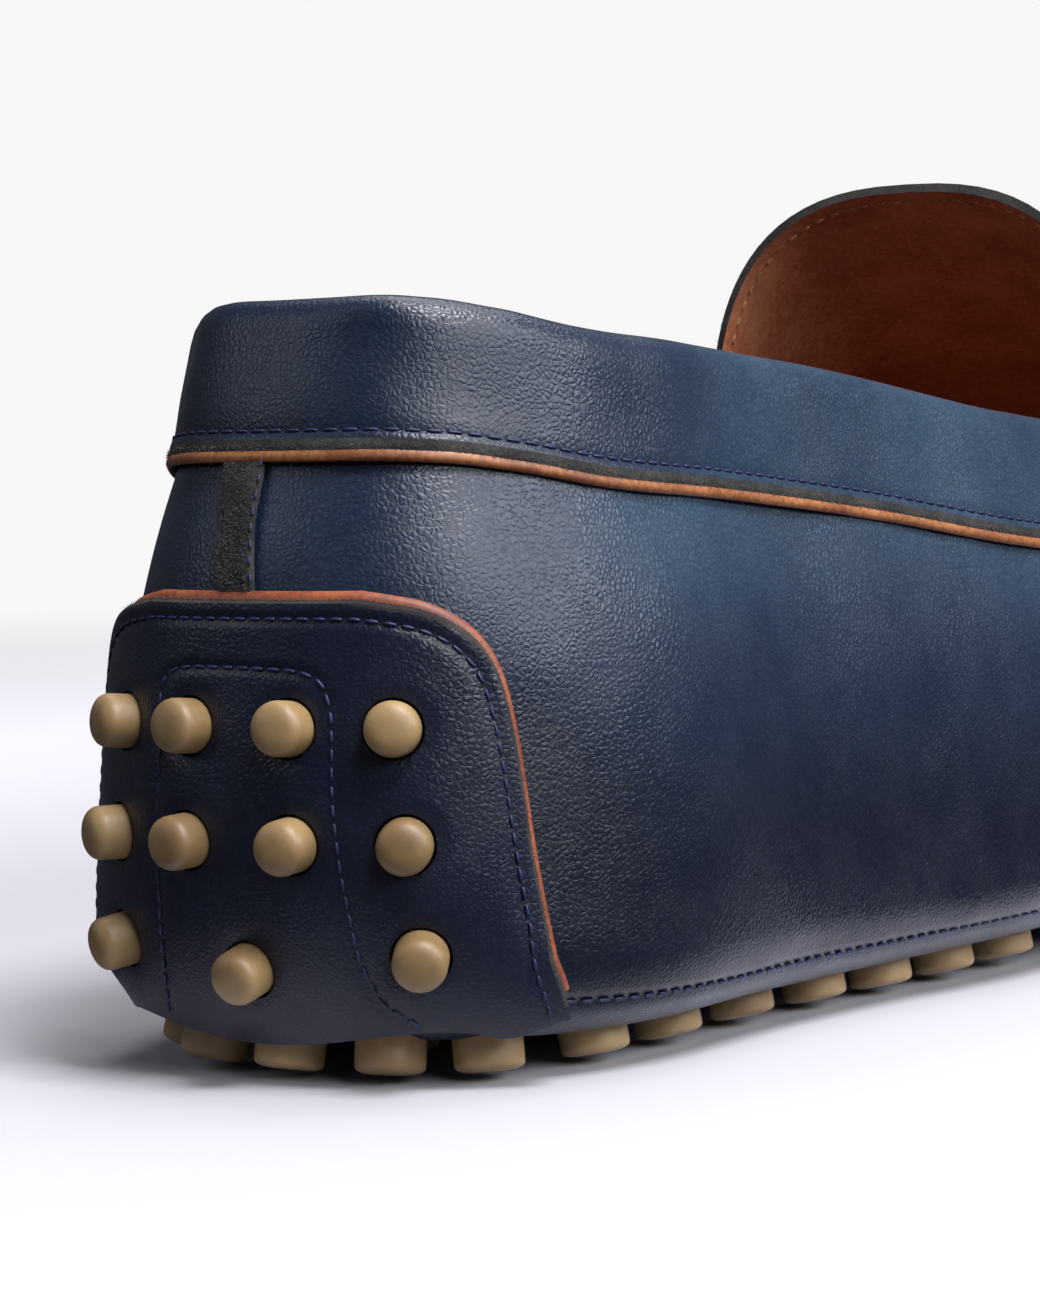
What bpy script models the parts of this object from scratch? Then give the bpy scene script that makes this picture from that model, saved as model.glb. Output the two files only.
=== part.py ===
"""Right-foot driving moccasin, empty and standing on its rubber studs.

Millimetres in the tables and functions, metres in Blender. X points to the
outer side of the foot, Y to the toe and Z up. While shapes are worked out, y=0
is the back of the heel; the finished shoe is shifted so that the origin lies on
the floor below the middle stud of the heel.
"""

import bisect
import math

import bpy
import numpy as np

LENGTH = 284.0
HEEL_WIDTH = 63.4
BALL_WIDTH = 97.0
BACK_HEIGHT = 75.0
STUD_HEIGHT = 4.0
REST_FROM_BACK = 40.0
HEEL_CAP, HEEL_SQUARE = 40.0, 2.30
TOE_CAP, TOE_SQUARE = 78.0, 2.15

# along the length, heel widths, ball widths, shift of the middle in ball widths
PLAN = (
    (0.00, 1.00, 0.00, 0.000),
    (0.16, 1.00, 0.00, 0.004),
    (0.25, 0.96, 0.06, 0.010),
    (0.36, 0.68, 0.31, 0.028),
    (0.46, 0.38, 0.58, 0.024),
    (0.57, 0.14, 0.83, 0.010),
    (0.65, 0.04, 0.95, 0.000),
    (0.73, 0.00, 1.00, -0.025),
    (0.82, 0.00, 1.00, -0.055),
    (0.91, 0.00, 0.98, -0.085),
    (1.00, 0.00, 0.96, -0.105),
)

# along the length, height of the collar or moccasin seam in back heights,
# height of the leather's underside, height of the widest line, inset of the
# top, turn of the leather under the foot
SIDE = (
    (0.000, 1.002, 4.4, 28.0, 9.7, 6.3),
    (0.020, 1.004, 4.4, 22.0, 9.7, 6.3),
    (0.045, 0.988, 4.3, 13.5, 9.7, 6.3),
    (0.088, 0.963, 4.1, 12.2, 9.5, 6.6),
    (0.160, 0.944, 4.0, 11.8, 8.8, 7.2),
    (0.250, 0.911, 4.0, 11.8, 8.5, 7.8),
    (0.350, 0.862, 4.3, 12.2, 9.6, 8.8),
    (0.440, 0.832, 4.6, 12.8, 11.3, 9.8),
    (0.530, 0.800, 4.4, 12.8, 13.8, 10.3),
    (0.620, 0.722, 4.0, 12.8, 15.8, 10.5),
    (0.710, 0.645, 4.0, 12.8, 17.6, 10.5),
    (0.800, 0.578, 4.7, 14.2, 19.2, 11.0),
    (0.900, 0.532, 7.8, 17.5, 20.0, 12.0),
    (1.000, 0.510, 13.1, 22.0, 20.0, 13.0),
)

# along the length, rise of the apron's middle over its seam, squareness of its arch
APRON = (
    (0.480, 32.5, 2.6),
    (0.530, 28.8, 2.45),
    (0.600, 22.5, 2.25),
    (0.680, 16.0, 2.2),
    (0.760, 10.5, 2.1),
    (0.840, 6.4, 2.0),
    (0.910, 3.2, 2.0),
    (1.000, 0.6, 2.0),
)

WALL = 2.2
SEAM_V = -0.40
COLLAR_BAND = 15.2
THROAT_Y = 139.0
PATCH_SKIN, PATCH_TOP = 1.25, 2.4
SOLE_SKIN = 1.6
STUD_SHEET = (2.05, 3.0)
INSOLE = (3.8, 5.8)

# height, half width along the girth
PATCH = (
    (3.2, 31.5),
    (7.6, 30.6),
    (12.4, 29.3),
    (21.8, 27.6),
    (33.4, 26.1),
    (38.5, 25.0),
    (41.5, 23.5),
    (43.8, 21.0),
    (45.4, 17.3),
    (46.3, 12.0),
)

# height, distance along the girth from the middle of the heel
HEEL_STUDS = (
    (34.4, -15.1), (34.4, -5.4), (34.4, 5.4), (34.4, 15.1),
    (23.8, -16.1), (23.8, -5.7), (23.8, 5.7), (23.8, 16.1),
    (13.6, -17.4), (12.0, 0.0), (13.6, 17.4),
)

# forwards of the stud under the middle of the heel and across from it, in heel widths
HEEL_INNER_STUDS = ((-0.221, 0.0), (0.0, -0.197), (0.0, 0.0), (0.0, 0.197), (0.252, 0.0))

# forwards of the stud under the ball and across from it, in ball widths
BALL_AT = LENGTH * 187 / 284
BALL_INNER_STUDS = (
    (-0.196, -0.124), (-0.196, 0.124), (0.0, -0.237), (0.0, 0.0), (0.0, 0.237),
    (0.196, -0.124), (0.196, 0.124), (0.402, 0.0),
)

# distance along the girth from the middle of the heel, of the studs round its edge
SIDE_STUDS = (12.8, 25.8, 43.9, 59.0, 73.0, 86.5, 98.8, 111.5, 125.5)
FRONT_STUDS = 0.535 * LENGTH


def smooth(t):
    t = min(max(t, 0.0), 1.0)
    return t * t * (3 - 2 * t)


class Curve:
    """A column of a table as a curve that never overshoots its points."""

    def __init__(self, table, column):
        self.x = x = [row[0] for row in table]
        self.y = y = [row[column] for row in table]
        step = [b - a for a, b in zip(x, x[1:])]
        rise = [(b - a) / h for a, b, h in zip(y, y[1:], step)]
        slope = [rise[0]]
        for i in range(1, len(x) - 1):
            if rise[i - 1] * rise[i] <= 0:
                slope.append(0.0)
                continue
            w1, w2 = 2 * step[i] + step[i - 1], step[i] + 2 * step[i - 1]
            slope.append((w1 + w2) / (w1 / rise[i - 1] + w2 / rise[i]))
        self.slope, self.step = slope + [rise[-1]], step

    def __call__(self, t):
        t = min(max(t, self.x[0]), self.x[-1])
        i = min(max(bisect.bisect_right(self.x, t) - 1, 0), len(self.step) - 1)
        h = self.step[i]
        s = (t - self.x[i]) / h
        return (
            (2 * s**3 - 3 * s**2 + 1) * self.y[i]
            + (s**3 - 2 * s**2 + s) * h * self.slope[i]
            + (3 * s**2 - 2 * s**3) * self.y[i + 1]
            + (s**3 - s**2) * h * self.slope[i + 1]
        )


heel_share, ball_share, shift_share = (Curve(PLAN, c) for c in (1, 2, 3))
top_share, floor_z, wide_z, top_inset, under_turn = (Curve(SIDE, c) for c in (1, 2, 3, 4, 5))
apron_rise, apron_square = (Curve(APRON, c) for c in (1, 2))
patch_half = Curve(PATCH, 1)


def outline():
    """The widest line seen from above, from the heel round the outer side to the toe and back."""
    outer, inner = [], []
    for k in range(901):
        y = LENGTH * (1 - math.cos(math.pi * k / 900)) / 2
        s = y / LENGTH
        half = (HEEL_WIDTH * heel_share(s) + BALL_WIDTH * ball_share(s)) / 2
        heel = max(1 - y / HEEL_CAP, 0.0)
        toe = max(1 - (LENGTH - y) / TOE_CAP, 0.0)
        half *= max(1 - heel**HEEL_SQUARE, 0.0) ** (1 / HEEL_SQUARE)
        half *= max(1 - toe**TOE_SQUARE, 0.0) ** (1 / TOE_SQUARE)
        middle = BALL_WIDTH * shift_share(s)
        outer.append((middle + half, y))
        inner.append((middle - half, y))
    loop = np.array(outer + inner[-2::-1])
    run = np.concatenate([[0], np.cumsum(np.linalg.norm(np.diff(loop, axis=0), axis=1))])
    return loop, run


LOOP, RUN = outline()
GIRTH = float(RUN[-1])
TOE_A = float(RUN[900])


def plan(a):
    a = a % GIRTH
    return np.array([np.interp(a, RUN, LOOP[:, 0]), np.interp(a, RUN, LOOP[:, 1])])


def plan_out(a):
    d = plan(a + 1.0) - plan(a - 1.0)
    d /= np.linalg.norm(d)
    return np.array([d[1], -d[0]])


def girth_at(y, outer=True):
    """Distance along the girth to the given y, negative on the inner side."""
    lo, hi = 0.0, TOE_A
    for _ in range(40):
        mid = (lo + hi) / 2
        if plan(mid if outer else -mid)[1] < y:
            lo = mid
        else:
            hi = mid
    return lo if outer else -lo


def lean(v, share):
    """How far the side has leant in at height v of 0 to 1: an S at the heel, a bow in front."""
    heel = 0.5 * v**1.2 + 0.5 * smooth((v - 0.4) / 0.55)
    front = v**1.8
    k = smooth((share - 0.25) / 0.3)
    return heel * (1 - k) + front * k


def low_wide(p, out):
    """Heights of the leather's underside, where the turn ends, and of the widest line."""
    s = p[1] / LENGTH
    return floor_z((p[1] - out[1] * under_turn(s)) / LENGTH), wide_z(s)


def wall(a, v, lift=0.0):
    """Point of the last's side. v is 0 on the widest line, 1 at the top and -1 under the foot."""
    if lift:
        da = wall(a + 0.5, v) - wall(a - 0.5, v)
        dv = wall(a, v + 0.02) - wall(a, v - 0.02)
        out = np.cross(da, dv)
        return wall(a, v) + out * (lift / np.linalg.norm(out))
    p, out = plan(a), plan_out(a)
    s = p[1] / LENGTH
    low, wide = low_wide(p, out)
    if v > 0:
        r = -top_inset(s) * lean(v, s)
        z = wide + v * (BACK_HEIGHT * top_share(s) - wide)
    else:
        turn = min(-v, 1.0) * math.pi / 2
        r = -under_turn(s) * (1 - math.cos(turn))
        z = wide - (wide - low) * math.sin(turn)
    return np.array([p[0] + out[0] * r, p[1] + out[1] * r, z])


def v_at(a, z):
    p = plan(a)
    low, wide = low_wide(p, plan_out(a))
    if z > wide:
        return (z - wide) / (BACK_HEIGHT * top_share(p[1] / LENGTH) - wide)
    return -math.asin(min((wide - z) / (wide - low), 1.0)) * 2 / math.pi


def at(a, z, lift=0.0):
    return wall(a, v_at(a, z), lift)


def below_top(a, d, lift=0.0):
    s = plan(a)[1] / LENGTH
    return wall(a, 1 - d / (BACK_HEIGHT * top_share(s) - wide_z(s)), lift)


def underside(a, r):
    """Point of the leather under the foot, r inwards from the widest line."""
    p, out = plan(a), plan_out(a)
    q, turn = p - out * r, under_turn(p[1] / LENGTH)
    low, wide = low_wide(p, out)
    if r >= turn:
        return np.array([*q, floor_z(q[1] / LENGTH)])
    return np.array([*q, wide - (wide - low) * math.sqrt(1 - (1 - r / turn) ** 2)])


# ---------------------------------------------------------------- meshes

MATERIALS = {}


def material(name, colour, rough):
    if name not in MATERIALS:
        made = bpy.data.materials.new(name)
        made.use_nodes = True
        shader = made.node_tree.nodes["Principled BSDF"]
        shader.inputs["Base Color"].default_value = (*colour, 1)
        shader.inputs["Roughness"].default_value = rough
        made.diffuse_color = (*colour, 1)
        MATERIALS[name] = made
    return MATERIALS[name]


NAVY = ("navy_calf", (0.012, 0.02, 0.042), 0.42)
DARK_NAVY = ("dark_navy_calf", (0.007, 0.010, 0.018), 0.36)
TAN_EDGE = ("tan_edge", (0.36, 0.12, 0.035), 0.6)
RAW_EDGE = ("raw_edge", (0.035, 0.038, 0.04), 0.9)
GUM = ("gum_rubber", (0.42, 0.27, 0.12), 0.5)
BROWN = ("brown_lining", (0.07, 0.018, 0.008), 0.65)


def new_object(name, corners, faces, look):
    """A mesh object with coincident corners made one and its faces turned outwards."""
    index, points, renamed = {}, [], []
    for p in corners:
        key = tuple(round(float(c), 3) for c in p)
        if key not in index:
            index[key] = len(points)
            points.append(np.array(p, float))
        renamed.append(index[key])
    found = {}
    for face in faces:
        ring = [renamed[i] for i in face]
        ring = [c for i, c in enumerate(ring) if c != ring[i - 1]]
        if len(set(ring)) == len(ring) >= 3:
            found.setdefault(frozenset(ring), []).append(ring)
    kept = [rings[0] for rings in found.values() if len(rings) == 1]
    size = 0.0
    for ring in kept:
        for i in range(1, len(ring) - 1):
            size += np.dot(points[ring[0]], np.cross(points[ring[i]], points[ring[i + 1]]))
    if size < 0:
        kept = [ring[::-1] for ring in kept]
    mesh = bpy.data.meshes.new(name)
    shift = np.array([0, REST_FROM_BACK, 0])
    mesh.from_pydata([tuple((p - shift) / 1000) for p in points], [], kept)
    mesh.update()
    obj = bpy.data.objects.new(name, mesh)
    bpy.context.scene.collection.objects.link(obj)
    mesh.materials.append(material(*look))
    return obj


def skin(name, rows, outer, inner, look, ring=False):
    """A solid between two grids. outer and inner take a row and give its points."""
    out = [outer(r) for r in rows]
    back = [inner(r) for r in rows]
    n, m = len(rows), len(out[0])
    corners = [p for row in out for p in row] + [p for row in back for p in row]
    faces = []
    for i in range(n if ring else n - 1):
        k = (i + 1) % n
        for j in range(m - 1):
            quad = (i * m + j, k * m + j, k * m + j + 1, i * m + j + 1)
            faces.append(quad)
            faces.append(tuple(n * m + c for c in quad[::-1]))
        for j in (0, m - 1):
            rim = (i * m + j, k * m + j, n * m + k * m + j, n * m + i * m + j)
            faces.append(rim if j else rim[::-1])
    if not ring:
        for i in (0, n - 1):
            for j in range(m - 1):
                rim = (i * m + j, i * m + j + 1, n * m + i * m + j + 1, n * m + i * m + j)
                faces.append(rim if i == 0 else rim[::-1])
    return new_object(name, corners, faces, look)


def loft(name, sections, look):
    """A solid swept through closed sections, with flat ends."""
    n, m = len(sections), len(sections[0])
    corners = [p for section in sections for p in section]
    faces = [tuple(range(m))[::-1], tuple(range((n - 1) * m, n * m))]
    for i in range(n - 1):
        for j in range(m):
            k = (j + 1) % m
            faces.append((i * m + j, i * m + k, (i + 1) * m + k, (i + 1) * m + j))
    return new_object(name, corners, faces, look)


def studs(name, places, radius, sides, look, rounded=True):
    """Separate studs in one mesh. Each place gives a root, an axis and a length."""
    corners, faces = [], []
    for root, axis, length in places:
        axis = np.array(axis, float) / np.linalg.norm(axis)
        side = np.cross(axis, (0, 0, 1) if abs(axis[2]) < 0.8 else (0, 1, 0))
        side /= np.linalg.norm(side)
        other = np.cross(axis, side)
        rings = ((0.0, 1.0), (length - 1.0, 1.0), (length, 0.7)) if rounded else ((0.0, 1.0), (length, 1.0))
        first = len(corners)
        for along, share in rings:
            for k in range(sides):
                t = 2 * math.pi * (k + 0.5) / sides
                r = radius * share
                corners.append(np.array(root) + axis * along + side * (r * math.cos(t)) + other * (r * math.sin(t)))
        last = first + (len(rings) - 1) * sides
        faces.append(tuple(range(first, first + sides))[::-1])
        faces.append(tuple(range(last, last + sides)))
        for i in range(len(rings) - 1):
            for k in range(sides):
                a = first + i * sides + k
                b = first + i * sides + (k + 1) % sides
                faces.append((a, b, b + sides, a + sides))
    obj = new_object(name, corners, faces, look)
    obj.hide_render = True
    obj.display_type = "WIRE"
    return obj


def boolean(target, tool, operation):
    change = target.modifiers.new(tool.name, "BOOLEAN")
    change.operation = operation
    change.solver = "EXACT"
    change.object = tool


# ---------------------------------------------------------------- stations

HEEL_A = [4.5 * k for k in range(8)]
SIDE_Y = (30.0, 42.0, 56.0, 72.0, 89.0, 106.0, 121.0, 134.0, THROAT_Y)
FRONT_SHARES = (0.08, 0.17, 0.26, 0.35, 0.44, 0.52, 0.60, 0.67, 0.74, 0.80, 0.86, 0.91, 0.96, 1.0)


def half_stations(outer):
    sign = 1 if outer else -1
    heel = [sign * a for a in HEEL_A]
    side = [girth_at(y, outer) for y in SIDE_Y if abs(girth_at(y, outer)) > 34]
    start = abs(side[-1])
    end = TOE_A if outer else GIRTH - TOE_A
    front = [sign * (start + (end - start) * s) for s in FRONT_SHARES]
    return heel + side + front


OUTER, INNER = half_stations(True), half_stations(False)
AROUND = OUTER + [a for a in INNER[-2:0:-1]]
THROAT = [abs(girth_at(THROAT_Y, side)) for side in (True, False)]


def share(a):
    return plan(a)[1] / LENGTH


def past_throat(a):
    """0 along the collar and 1 beside the apron."""
    return smooth((plan(a)[1] - THROAT_Y - 0.5) / 6)


# ---------------------------------------------------------------- the pieces

for old in list(bpy.data.objects):
    bpy.data.objects.remove(old)

WALL_V = (SEAM_V, -0.22, 0.08, 0.30, 0.50, 0.67, 0.82)


def upper_row(a, lift):
    edge = 1.9 * (1 - past_throat(a)) + 0.25 * past_throat(a)
    if lift:
        edge += 1.3 * past_throat(a)
    return [wall(a, v, lift) for v in WALL_V] + [below_top(a, edge, lift)]


upper = skin("upper", AROUND, lambda a: upper_row(a, 0.0), lambda a: upper_row(a, -WALL), NAVY, ring=True)


def seam_points(i, lift=0.0):
    """The moccasin seam's two points at a step towards the toe, and the arch between them."""
    a, b = OUTER[i], INNER[i]
    return wall(a, 1.0, lift), wall(b, 1.0, lift)


def apron_point(p, q, t, start=0.0):
    """Point of the apron over seam points p and q. t runs from 0 to 1 across, the sides standing up at both ends."""
    mid, half = (p + q) / 2, (p - q) / 2
    s = mid[1] / LENGTH
    rise, n = apron_rise(s), apron_square(s)
    first = min(math.asin(min(start / rise, 1.0) ** (n / 2)), 0.2)
    turn = first + (math.pi - 2 * first) * t
    r = mid + half * math.copysign(abs(math.cos(turn)) ** (2 / n), math.cos(turn))
    r[2] += rise * math.sin(turn) ** (2 / n)
    return r


FIRST = OUTER.index(next(a for a in OUTER if plan(a)[1] > THROAT_Y - 1))
APRON_T = (0.0, 0.05, 0.14, 0.25, 0.37, 0.5, 0.63, 0.75, 0.86, 0.95, 1.0)
APRON_SKIN = 2.0


def apron_rows():
    """The apron's outer rows and the inner ones, laid along the outer ones' normals."""
    rows = []
    for i in range(FIRST, len(OUTER)):
        p, q = seam_points(i)
        middle, width = (p + q) / 2, np.linalg.norm(p - q) / 2
        if width < 1:
            rows.append([middle + np.array([0, -0.7, 0.5])] * len(APRON_T))
            continue
        closer = max(1 - 0.3 / width, 0.5)
        p, q = middle + (p - middle) * closer, middle + (q - middle) * closer
        rows.append([apron_point(p, q, t, 0.5) for t in APRON_T])
    rows = np.array(rows)
    deep = rows.copy()
    n, m = len(rows), len(APRON_T)
    for i in range(n):
        for j in range(m):
            if i == n - 1:
                deep[i, j] = rows[i, j] - np.array([0, 1.2, APRON_SKIN])
                continue
            da = rows[i + 1, j] - rows[max(i - 1, 0), j]
            dt = rows[i, min(j + 1, m - 1)] - rows[i, max(j - 1, 0)]
            out = np.cross(da, dt)
            deep[i, j] = rows[i, j] - out * (APRON_SKIN / np.linalg.norm(out)) * (-1 if out[2] < 0 else 1)
    return rows, deep


OUT_GRID, IN_GRID = apron_rows()
apron = skin("apron", list(range(len(OUT_GRID))), lambda i: OUT_GRID[i], lambda i: IN_GRID[i], NAVY)


def ridge_sections():
    """The raised moccasin seam, from one end of the throat round the toe to the other."""
    sections = []
    up = np.array([0, 0, 1.0])
    for a in OUTER[FIRST:] + INNER[-2 : FIRST - 1 : -1]:
        base = wall(a, 1.0)
        out = wall(a, 1.0, 1.0) - base
        down = below_top(a, 1.0) - base
        down /= np.linalg.norm(down)
        side = np.array([*plan_out(a), 0])
        sections.append([
            base + out * 0.35 + down * 1.5,
            base + out * 1.2 + down * 1.3,
            base + out * 1.6 + up * 0.2,
            base + side * 1.2 + up * 1.9,
            base + side * 0.4 + up * 1.9,
            base + out * 0.35,
        ])
    return sections


# height below the crest, lift: the collar's section, clockwise from its outer lower edge
COLLAR = (
    (15.2, 1.5), (10.0, 1.45), (3.6, 1.45), (0.8, 0.8), (0.0, -0.9), (0.6, -2.9), (3.2, -3.8), (12.0, -3.6),
    (12.0, -2.6), (6.5, -2.65), (1.45, -2.65), (1.45, 0.3), (6.5, 0.5), (15.2, 1.0),
)


def collar_path():
    end = THROAT_Y - 1.0
    outer = [a for a in OUTER if plan(a)[1] < end - 1] + [girth_at(end)]
    inner = [a for a in INNER if plan(a)[1] < end - 1] + [girth_at(end, False)]
    return outer[::-1] + inner[1:]


collar_band = loft("collar_band", [[below_top(a, d, lift) for d, lift in COLLAR] for a in collar_path()], NAVY)

collar_piping = skin(
    "collar_piping",
    collar_path(),
    lambda a: [below_top(a, d, 0.7) for d in (13.2, 16.5)],
    lambda a: [below_top(a, d, 0.25) for d in (13.2, 16.5)],
    TAN_EDGE,
)

strip_rows = np.linspace(PATCH[-1][0] + 1.8, BACK_HEIGHT * SIDE[0][1] - COLLAR_BAND - 1.8, 3)
back_seam_strip = skin(
    "back_seam_strip",
    strip_rows,
    lambda z: [at(u - 1.6 - (z - 46) * 0.15, z, 0.8) for u in (-2.2, 0.0, 2.2)],
    lambda z: [at(u - 1.6 - (z - 46) * 0.15, z, 0.3) for u in (-2.2, 0.0, 2.2)],
    RAW_EDGE,
)

PATCH_S = (-1.0, -0.8, -0.6, -0.4, -0.2, 0.0, 0.2, 0.4, 0.6, 0.8, 1.0)


def patch_row(z, lift, trim=0.0):
    half = patch_half(z) - trim
    return [patch_at(s * half, z, lift) for s in PATCH_S]


def patch_at(a, z, lift):
    """The patch ends on the turn under the heel, so heights near its lower edge become turns."""
    v = v_at(a, max(z, 13.0))
    if z < 13.0:
        end = -0.8 + 0.18 * smooth(abs(a) / 26)
        v += (end - v) * (13.0 - z) / (13.0 - PATCH[0][0])
    return wall(a, v, lift)


PATCH_Z = (3.2, 7.5, 12.5, 18.0, 25.0, 32.0, 38.0, 41.5, 43.8, 45.4, 46.3)
heel_patch = skin(
    "heel_patch",
    PATCH_Z,
    lambda z: patch_row(z, PATCH_TOP),
    lambda z: patch_row(z, PATCH_SKIN),
    DARK_NAVY,
)


def patch_edge(shift):
    """The patch's outline as (girth, height), moved outwards by the shift."""
    right = [(patch_half(z), z) for z in PATCH_Z[2:]]
    line = [(-a, z) for a, z in right] + [(a, 46.3) for a in (-8.0, -4.0, 0.0, 4.0, 8.0)] + right[::-1]
    moved = []
    for k, (a, z) in enumerate(line):
        before, after = line[max(k - 1, 0)], line[min(k + 1, len(line) - 1)]
        da, dz = after[0] - before[0], after[1] - before[1]
        size = math.hypot(da, dz)
        moved.append((a - dz / size * shift, z + da / size * shift))
    return moved


heel_patch_piping = skin(
    "heel_patch_piping",
    list(zip(patch_edge(-2.2), patch_edge(1.2))),
    lambda pair: [patch_at(a, z, 0.72) for a, z in pair],
    lambda pair: [patch_at(a, z, 0.3) for a, z in pair],
    TAN_EDGE,
)

PAD_Z = (8.5, 13.0, 18.0, 25.0, 32.0, 39.5)
PAD_A = (-1.0, -0.75, -0.5, -0.25, 0.0, 0.25, 0.5, 0.75, 1.0)
heel_pad = skin(
    "heel_pad",
    PAD_Z,
    lambda z: [patch_at(s * (patch_half(min(z, 38)) - 5.2), z, 0.88) for s in PAD_A],
    lambda z: [patch_at(s * (patch_half(min(z, 38)) - 5.2), z, 0.38) for s in PAD_A],
    GUM,
)


def heel_places(start, end):
    places = []
    for z, a in HEEL_STUDS:
        root, tip = patch_at(a, z, start), patch_at(a, z, end)
        places.append((root, tip - root, end - start))
    return places


boolean(heel_pad, studs("heel_studs", heel_places(0.6, 5.7), 2.8, 8, GUM), "UNION")
boolean(heel_patch, studs("heel_holes", heel_places(0.7, 3.4), 3.15, 8, GUM, rounded=False), "DIFFERENCE")

SOLE_STEPS = list(range(len(OUTER)))
SOLE_V = (SEAM_V - 0.035, -0.78, -1.0)
ACROSS = (0.25, 0.5, 0.75)


def sole_row(i, lift):
    """The moccasin's bottom from its seam on one side, under the foot, to the seam on the other."""
    p, q = wall(OUTER[i], -1.0), wall(INNER[i], -1.0)
    flat = [p + (q - p) * t for t in (0.0, *ACROSS, 1.0)]
    for r in flat:
        r[2] = floor_z(r[1] / LENGTH) - lift
    turn = SOLE_V[:-1]
    return [wall(OUTER[i], v, lift) for v in turn] + flat + [wall(INNER[i], v, lift) for v in turn[::-1]]


def sheet_row(i, short, up):
    """A flat sheet inside the bottom, ending short of the turn and lying up from the leather's underside."""
    ends = [underside(a, under_turn(share(a)) - short) for a in (OUTER[i], INNER[i])]
    row = [ends[0] + (ends[1] - ends[0]) * t for t in (0.0, *ACROSS, 1.0)]
    for point in row:
        point[2] = floor_z(point[1] / LENGTH) + up
    return row


SHEET_STEPS = SOLE_STEPS[:8:2] + SOLE_STEPS[8::2] + SOLE_STEPS[-1:]
sole_leather = skin("sole_leather", SOLE_STEPS, lambda i: sole_row(i, 0.0), lambda i: sole_row(i, -SOLE_SKIN), NAVY)
sole_studs, insole = (
    skin(name, SHEET_STEPS, lambda i: sheet_row(i, short, up[0]), lambda i: sheet_row(i, short, up[1]), look)
    for name, short, up, look in (("sole_studs", 0.1, STUD_SHEET, GUM), ("insole", 0.3, INSOLE, BROWN))
)

STUD_RADIUS = 3.45
STUD_TILT = math.radians(13)


def edge_studs():
    """Girths of the studs round the edge of the heel and of the front."""
    heel = [-0.7, *SIDE_STUDS, *(-a - 1.4 for a in SIDE_STUDS)]
    front = []
    for side, end in ((True, TOE_A), (False, GIRTH - TOE_A)):
        start = abs(girth_at(FRONT_STUDS, side))
        front += [(start + (end - start) * k / 9) * (1 if side else -1) for k in range(10 if side else 9)]
    return heel + front


def stud_inset(a):
    """How far inside the widest line an edge stud leaves the leather: least at the back of the heel."""
    back = min(a % GIRTH, -a % GIRTH)
    return 7.5 + 2.8 * smooth((back - 20) / 28) + 1.2 * smooth((back - 90) / 40)


def inner_studs():
    """Places along and across the shoe of the studs inside the edge ones."""
    heel = [(REST_FROM_BACK + HEEL_WIDTH * y, HEEL_WIDTH * x) for y, x in HEEL_INNER_STUDS]
    return heel + [(BALL_AT + BALL_WIDTH * y, BALL_WIDTH * x) for y, x in BALL_INNER_STUDS]


def sole_places(up, down):
    """Roots, axes and lengths of the sole's studs. Those under the heel and the ball end on the floor."""
    places = []
    for a in edge_studs():
        s = share(a)
        root = underside(a, stud_inset(a))
        axis = np.array([*(plan_out(a) * math.sin(STUD_TILT)), -math.cos(STUD_TILT)])
        end = 0.15 if s < 0.1 else max(floor_z(root[1] / LENGTH) - STUD_HEIGHT, 0.15)
        length = (root[2] - end) / math.cos(STUD_TILT) - STUD_RADIUS * math.tan(STUD_TILT)
        places.append((root - axis * up, axis, up + length + down))
    for y, x in inner_studs():
        s = y / LENGTH
        z = floor_z(s)
        end = 0.0 if z < STUD_HEIGHT + 0.7 else z - STUD_HEIGHT
        places.append(((x + BALL_WIDTH * shift_share(s), y, z + up), (0, 0, -1), z + up - end + down))
    return places


STUD_ROOT = sum(STUD_SHEET) / 2
boolean(sole_studs, studs("sole_stud_tools", sole_places(STUD_ROOT, 0.0), STUD_RADIUS, 8, GUM, rounded=False), "UNION")
boolean(sole_leather, studs("sole_holes", sole_places(STUD_ROOT + 2.5, 2.0), STUD_RADIUS + 0.35, 8, GUM, rounded=False), "DIFFERENCE")

apron_seam = loft("apron_seam", ridge_sections(), NAVY)
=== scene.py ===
"""Looks of a right-foot driving moccasin, seen from behind its outer side.

Shapes are worked out in millimetres with y=0 at the back of the heel, on the same
last as the solids. `piece` moves them to the model's own frame, in metres.
"""

import math

import bmesh
import bpy
import numpy as np
from mathutils import Matrix, Vector


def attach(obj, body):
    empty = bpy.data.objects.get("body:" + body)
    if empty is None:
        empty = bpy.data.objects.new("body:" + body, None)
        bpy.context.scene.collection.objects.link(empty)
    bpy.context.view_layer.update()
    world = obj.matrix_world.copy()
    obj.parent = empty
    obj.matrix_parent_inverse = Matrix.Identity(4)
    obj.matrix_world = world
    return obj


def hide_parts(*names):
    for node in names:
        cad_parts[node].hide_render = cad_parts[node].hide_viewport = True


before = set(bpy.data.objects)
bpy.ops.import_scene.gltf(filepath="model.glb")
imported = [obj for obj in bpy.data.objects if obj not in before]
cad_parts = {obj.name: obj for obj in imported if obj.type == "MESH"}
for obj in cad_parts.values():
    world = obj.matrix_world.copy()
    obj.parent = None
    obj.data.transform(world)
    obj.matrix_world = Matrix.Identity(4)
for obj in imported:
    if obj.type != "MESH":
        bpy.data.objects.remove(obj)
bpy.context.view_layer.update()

# ---------------------------------------------------------------- the last

LENGTH = 284.0
HEEL_WIDTH = 63.4
BALL_WIDTH = 97.0
BACK_HEIGHT = 75.0
STUD_HEIGHT = 4.0
REST_FROM_BACK = 40.0
HEEL_CAP, HEEL_SQUARE = 40.0, 2.30
TOE_CAP, TOE_SQUARE = 78.0, 2.15

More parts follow.
